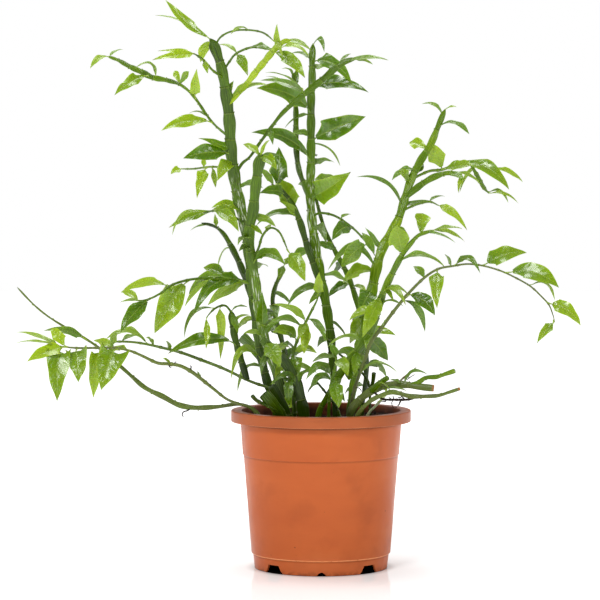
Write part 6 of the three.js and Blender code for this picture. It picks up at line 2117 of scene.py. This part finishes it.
@dataclass(frozen=True)
class Compost:
    """The compost, in millimetres: a plug that fills the pot, and loose crumbs on its top."""

    top: float = 142.0
    clearance: float = 0.35
    relief: float = 1.56
    lump_seed: int = 21
    lumps: tuple[tuple[float, float], ...] = ((11.0, 1.0), (4.6, 0.5), (2.1, 0.3))
    heap: float = 9.0
    heap_at: float = 0.45
    calm_power: int = 8
    rings: int = 54
    least_ring: float = 0.01
    facets: int = 150
    plug_tint: float = 0.4
    edge_drop: float = 0.3
    shoulder: tuple[tuple[float, float], ...] = ((2.4, 0.0), (1.0, 1.2))
    side_marks: tuple[float, float, float] = (-2.0, 3.0, -3.0)
    bare_rim: float = 3.0
    crumb_seed: int = 77
    crumbs: int = 420
    crumb_sizes: tuple[float, float] = (0.7, 2.0)
    crumb_shape: tuple[float, float] = (0.6, 1.1)
    crumb_tints: tuple[float, float] = (0.0, 0.8)
    crumb_rise: float = 0.25
    tilt: float = 0.5
    chips: int = 26
    chip_sizes: tuple[float, float] = (2.4, 4.6)
    chip_shape: tuple[float, float, float] = (1.0, 0.5, 0.22)
    chip_tints: tuple[float, float] = (0.75, 1.3)
    chip_rise: float = 0.1
    ball_tilts: tuple[float, ...] = (-78, -40, 0, 40, 78)
    ball_sides: int = 7
    dents: float = 0.3
    dent_cell: float = 1.3
    dent_step: float = 3.0
    dent_seed: int = 9

    def level(self, x: Array, y: Array, rim: float) -> Array:
        """The height of the top: heaped at one side, plus noise of three sizes.

        The heap rises with the square of the share of the way towards that side.

        Args:
            x: places across.
            y: places in depth.
            rim: the radius at which it ends.

        Returns:
            Heights in millimetres.
        """
        place = np.stack([x, y, 0 * x], axis=-1)
        share = np.hypot(x, y) / rim
        rough = sum(
            part * value_noise(place, cell, self.lump_seed + k)
            for k, (cell, part) in enumerate(self.lumps))
        heap = (share * np.maximum(0, np.cos(np.arctan2(y, x) - self.heap_at))) ** 2
        return self.top + self.heap * heap + self.relief * rough * (1 - share**self.calm_power)

    def build(self, pot: NurseryPot, earth: bpy.types.Material) -> None:
        """Builds the plug and the crumbs.

        Args:
            pot: the pot that it fills.
            earth: the finish.
        """
        def inner(z: float) -> float:
            """Returns the pot's inside radius at a height, less the clearance."""
            return pot.wall_at(z) - pot.plastic - self.clearance

        base = pot.floor + pot.plastic + self.clearance
        rim = inner(self.top) - self.edge_drop
        turn = turns(self.facets)
        side = [(inner(base + 1) - inset, base + rise) for inset, rise in self.shoulder]
        marks = zip((pot.step_height, pot.step_height, self.top), self.side_marks)
        side += [(inner(mark + off), mark + off) for mark, off in marks]
        radius, height = np.array(side).T[..., None]
        reach = rim * np.linspace(1, self.least_ring, self.rings)[:, None]
        x, y = reach * np.cos(turn), reach * np.sin(turn)
        top = np.stack([x, y, self.level(x, y, rim)], axis=-1)
        shell = Shell(("tint",))
        shell.loft(np.concatenate([round_points(radius, turn, height), top]), tint=self.plug_tint)
        hand_over(shell.build("compost_plug", earth), Slot.COMPOST, "compost")
        self._crumbs(rim - self.bare_rim, earth)

    def _crumbs(self, rim: float, earth: bpy.types.Material) -> None:
        """Scatters loose crumbs and bark chips over the top: spheres dented by noise, half sunk."""
        rng = np.random.default_rng(self.crumb_seed)
        tilt = np.radians(self.ball_tilts)[:, None]
        ball = round_points(np.cos(tilt), turns(self.ball_sides), np.sin(tilt))
        shell = Shell(("tint",))
        for k in range(self.crumbs + self.chips):
            chip = k >= self.crumbs
            far, at = rim * math.sqrt(rng.random()), rng.uniform(0, 2 * math.pi)
            x, y = far * math.cos(at), far * math.sin(at)
            size = rng.uniform(*(self.chip_sizes if chip else self.crumb_sizes))
            shape = np.array(self.chip_shape) if chip else rng.uniform(*self.crumb_shape, 3)
            dents = value_noise(ball * self.dent_step + k, self.dent_cell, self.dent_seed)
            body = ball * size * shape * (1 + self.dents * dents[..., None])
            spin, tip = rng.uniform(0, 2 * np.pi), rng.uniform(-self.tilt, self.tilt)
            c, s, ct, st = math.cos(spin), math.sin(spin), math.cos(tip), math.sin(tip)
            body = body @ np.array([[ct, 0, st], [0, 1, 0], [-st, 0, ct]])
            body = body @ np.array([[c, s, 0], [-s, c, 0], [0, 0, 1]])
            z = float(self.level(np.array([x]), np.array([y]), rim + self.bare_rim)[0])
            z = z + size * (self.chip_rise if chip else self.crumb_rise)
            tint = rng.uniform(*(self.chip_tints if chip else self.crumb_tints))
            shell.loft(body + np.array([x, y, z]), tint=tint)
        hand_over(shell.build("compost_crumbs", earth), Slot.COMPOST, "compost")


# The studio


@dataclass(frozen=True)
class SoftBox:
    """A light: its name, place from the pot's axis and size in metres, and its power in watts."""

    name: str
    place: tuple[float, float, float]
    size: tuple[float, float]
    power: float


SOFT_BOXES = (
    SoftBox("soft_box_left", (-0.9, -2.0, 1.5), (0.6, 0.6), 30),
    SoftBox("soft_box_right", (1.4, -1.5, 1.0), (0.4, 0.4), 8),
    SoftBox("soft_box_top", (-0.2, 0.3, 2.0), (0.8, 0.8), 17),
    SoftBox("strip_left", (-1.5, 0.75, 0.6), (0.25, 0.9), 2.5),
    SoftBox("strip_right", (1.5, 0.75, 0.6), (0.25, 0.9), 2.5),
)


@dataclass(frozen=True)
class Studio:
    """The photographer's set: camera, pale floor, white surroundings and soft boxes. Metres."""

    aim_height: float = 0.268
    view_width: float = 0.6
    sensor: float = 36.0
    clip: tuple[float, float] = (0.05, 50.0)
    lights_aim: tuple[float, float, float] = (0, 0, 0.28)
    floor_half: float = 6.0
    floor_cells: int = 8
    floor_drop: float = 0.0002
    floor_white: Colour = (250, 250, 250)
    # Colour of the painted shadow on the floor under the pot.
    painted_floor_shadow: Colour = (16, 13, 11)
    shadow_under_pot: Band = (0.0655, 0.0672)
    # The floor glows, a painted light: not at all under the pot, faintly beside it, and more far
    # away.
    near_light: Band = (0.066, 0.078, 0.0, 0.2)
    far_light: Band = (0.25, 0.6, 0.0, 0.5)
    gloss: Band = (0.25, 0.6, 0.06)
    front: float = 0.27
    back: float = 0.8
    low_band: tuple[float, float] = (-0.02, 0.24)
    low_glow: float = 1.3
    mirrored: Band = (0.3, 0.7, 0.3, 1.0)

    def camera(self) -> None:
        """Sets the camera square to the plant, tipped down a little, with a long lens."""
        data = bpy.data.cameras.new("camera")
        camera = bpy.data.objects.new("camera", data)
        bpy.context.scene.collection.objects.link(camera)
        place = Vector(pot_axis() + VIEWER * MM)
        away = Vector((place.x, pot_axis()[1], self.aim_height)) - place
        camera.location = place
        camera.rotation_euler = away.to_track_quat("-Z", "Y").to_euler()
        data.sensor_width = self.sensor
        data.lens = self.sensor * away.length / self.view_width
        data.clip_start, data.clip_end = self.clip
        bpy.context.scene.camera = camera

    def floor(self) -> None:
        """Lays the pale floor, a little glossy, just below the pot's feet. It glows as a painted
        light, and it has a painted shadow under the pot.
        """
        count = self.floor_cells + 1
        grid = np.linspace(-self.floor_half, self.floor_half, count)
        x, y = np.meshgrid(grid, grid, indexing="ij")
        points = np.stack([x, y, 0 * x - self.floor_drop], axis=-1).reshape(-1, 3)
        a = np.arange(count**2).reshape(count, count)[:-1, :-1].ravel()
        quads = np.stack([a, a + count, a + count + 1, a + 1], axis=-1)
        mesh = bpy.data.meshes.new("studio_floor")
        mesh.from_pydata(points.tolist(), [], quads.tolist())
        sheet = Sheet("studio_floor")
        far = sheet.node(
            "VectorMath", {0: sheet.place, 1: tuple(pot_axis())}, "Value", operation="DISTANCE")
        # A painted shadow: inside the pot's foot the floor is dark and mirrors nothing.
        under = far.fall(*self.shadow_under_pot)
        sheet.set(
            Base_Color=sheet.lay(self.floor_white, (under, self.painted_floor_shadow)), Roughness=0.05,
            Specular_IOR_Level=far.fall(*self.gloss) * sheet.math("SUBTRACT", 1.0, under),
            Emission_Color=(1, 1, 1, 1),
            # Painted light: the floor's glow, off under the pot.
            Emission_Strength=far.rise(*self.near_light) + far.rise(*self.far_light),
        )
        mesh.materials.append(sheet.material)
        floor = bpy.data.objects.new("studio_floor", mesh)
        bpy.context.scene.collection.objects.link(floor)

    def light(self, box: SoftBox) -> None:
        """Adds a soft box that looks at the plant."""
        data = bpy.data.lights.new(box.name, "AREA")
        data.shape = "RECTANGLE"
        data.size, data.size_y = box.size
        data.energy = box.power
        lamp = bpy.data.objects.new(box.name, data)
        lamp.location = Vector(pot_axis()) + Vector(box.place)
        away = Vector(self.lights_aim) - Vector(box.place)
        lamp.rotation_euler = away.to_track_quat("-Z", "Y").to_euler()
        bpy.context.scene.collection.objects.link(lamp)

    def room(self) -> None:
        """Surrounds the set: white to look at, and lit most from behind and least from the front.

        The light from a direction goes evenly from the front's strength to the back's. Less of it
        is mirrored in glossy surfaces than falls on dull ones, but for the ceiling and for a low
        band of the walls, which the floor mirrors.
        """
        world = bpy.data.worlds.new("white_room")
        world.use_nodes = True
        board = Board(world.node_tree)
        white = board.nodes["Background"]
        white.inputs["Color"].default_value = (1, 1, 1, 1)
        way = board.node("TexCoord", {}, "Generated")
        up, depth = (board.node("SeparateXYZ", {0: way}, name) for name in ("Z", "Y"))
        low, high = self.low_band
        band = board.math("COMPARE", up, (low + high) / 2, (high - low) / 2) * self.low_glow
        mirrored = board.math("MAXIMUM", up.rise(*self.mirrored), band)
        glossy = board.node("LightPath", {}, "Is Glossy Ray")
        share = board.math("MULTIPLY_ADD", glossy, mirrored - 1.0, 1.0)
        strength = depth * ((self.back - self.front) / 2) + (self.back + self.front) / 2
        lit = board.node("Background", {"Strength": strength * share})
        seen = board.node("LightPath", {}, "Is Camera Ray")
        both = board.node("MixShader", {0: seen, 1: lit, 2: Wire(board, white.outputs[0])})
        board.feed(board.nodes["World Output"].inputs["Surface"], both)
        bpy.context.scene.world = world

    def build(self) -> None:
        """Sets up everything."""
        self.camera()
        self.floor()
        self.room()
        bpy.context.scene.view_settings.view_transform = "Standard"
        for box in SOFT_BOXES:
            self.light(box)


def main() -> None:
    """Builds the set, the pot, the compost and the plant."""
    logging.basicConfig(level=logging.INFO, format="%(message)s")
    Studio().build()
    pot = NurseryPot()
    pot.build(PlasticFinish().build())
    Compost().build(pot, EarthFinish().build())
    plant = Plant(STEMS)
    ribbon_skin, leaf_skin = RibbonFinish().build(), LeafFinish().build()
    total = 0
    for number, (stem, branches) in enumerate(zip(plant.stems, plant.branches)):
        RibbonPiece().build(stem, branches, number, ribbon_skin)
        total += LeafPiece().build(stem, branches, leaf_skin)
    log.info("%d stems with %d leaves", len(plant.stems), total)


if __name__ == "__main__":
    main()
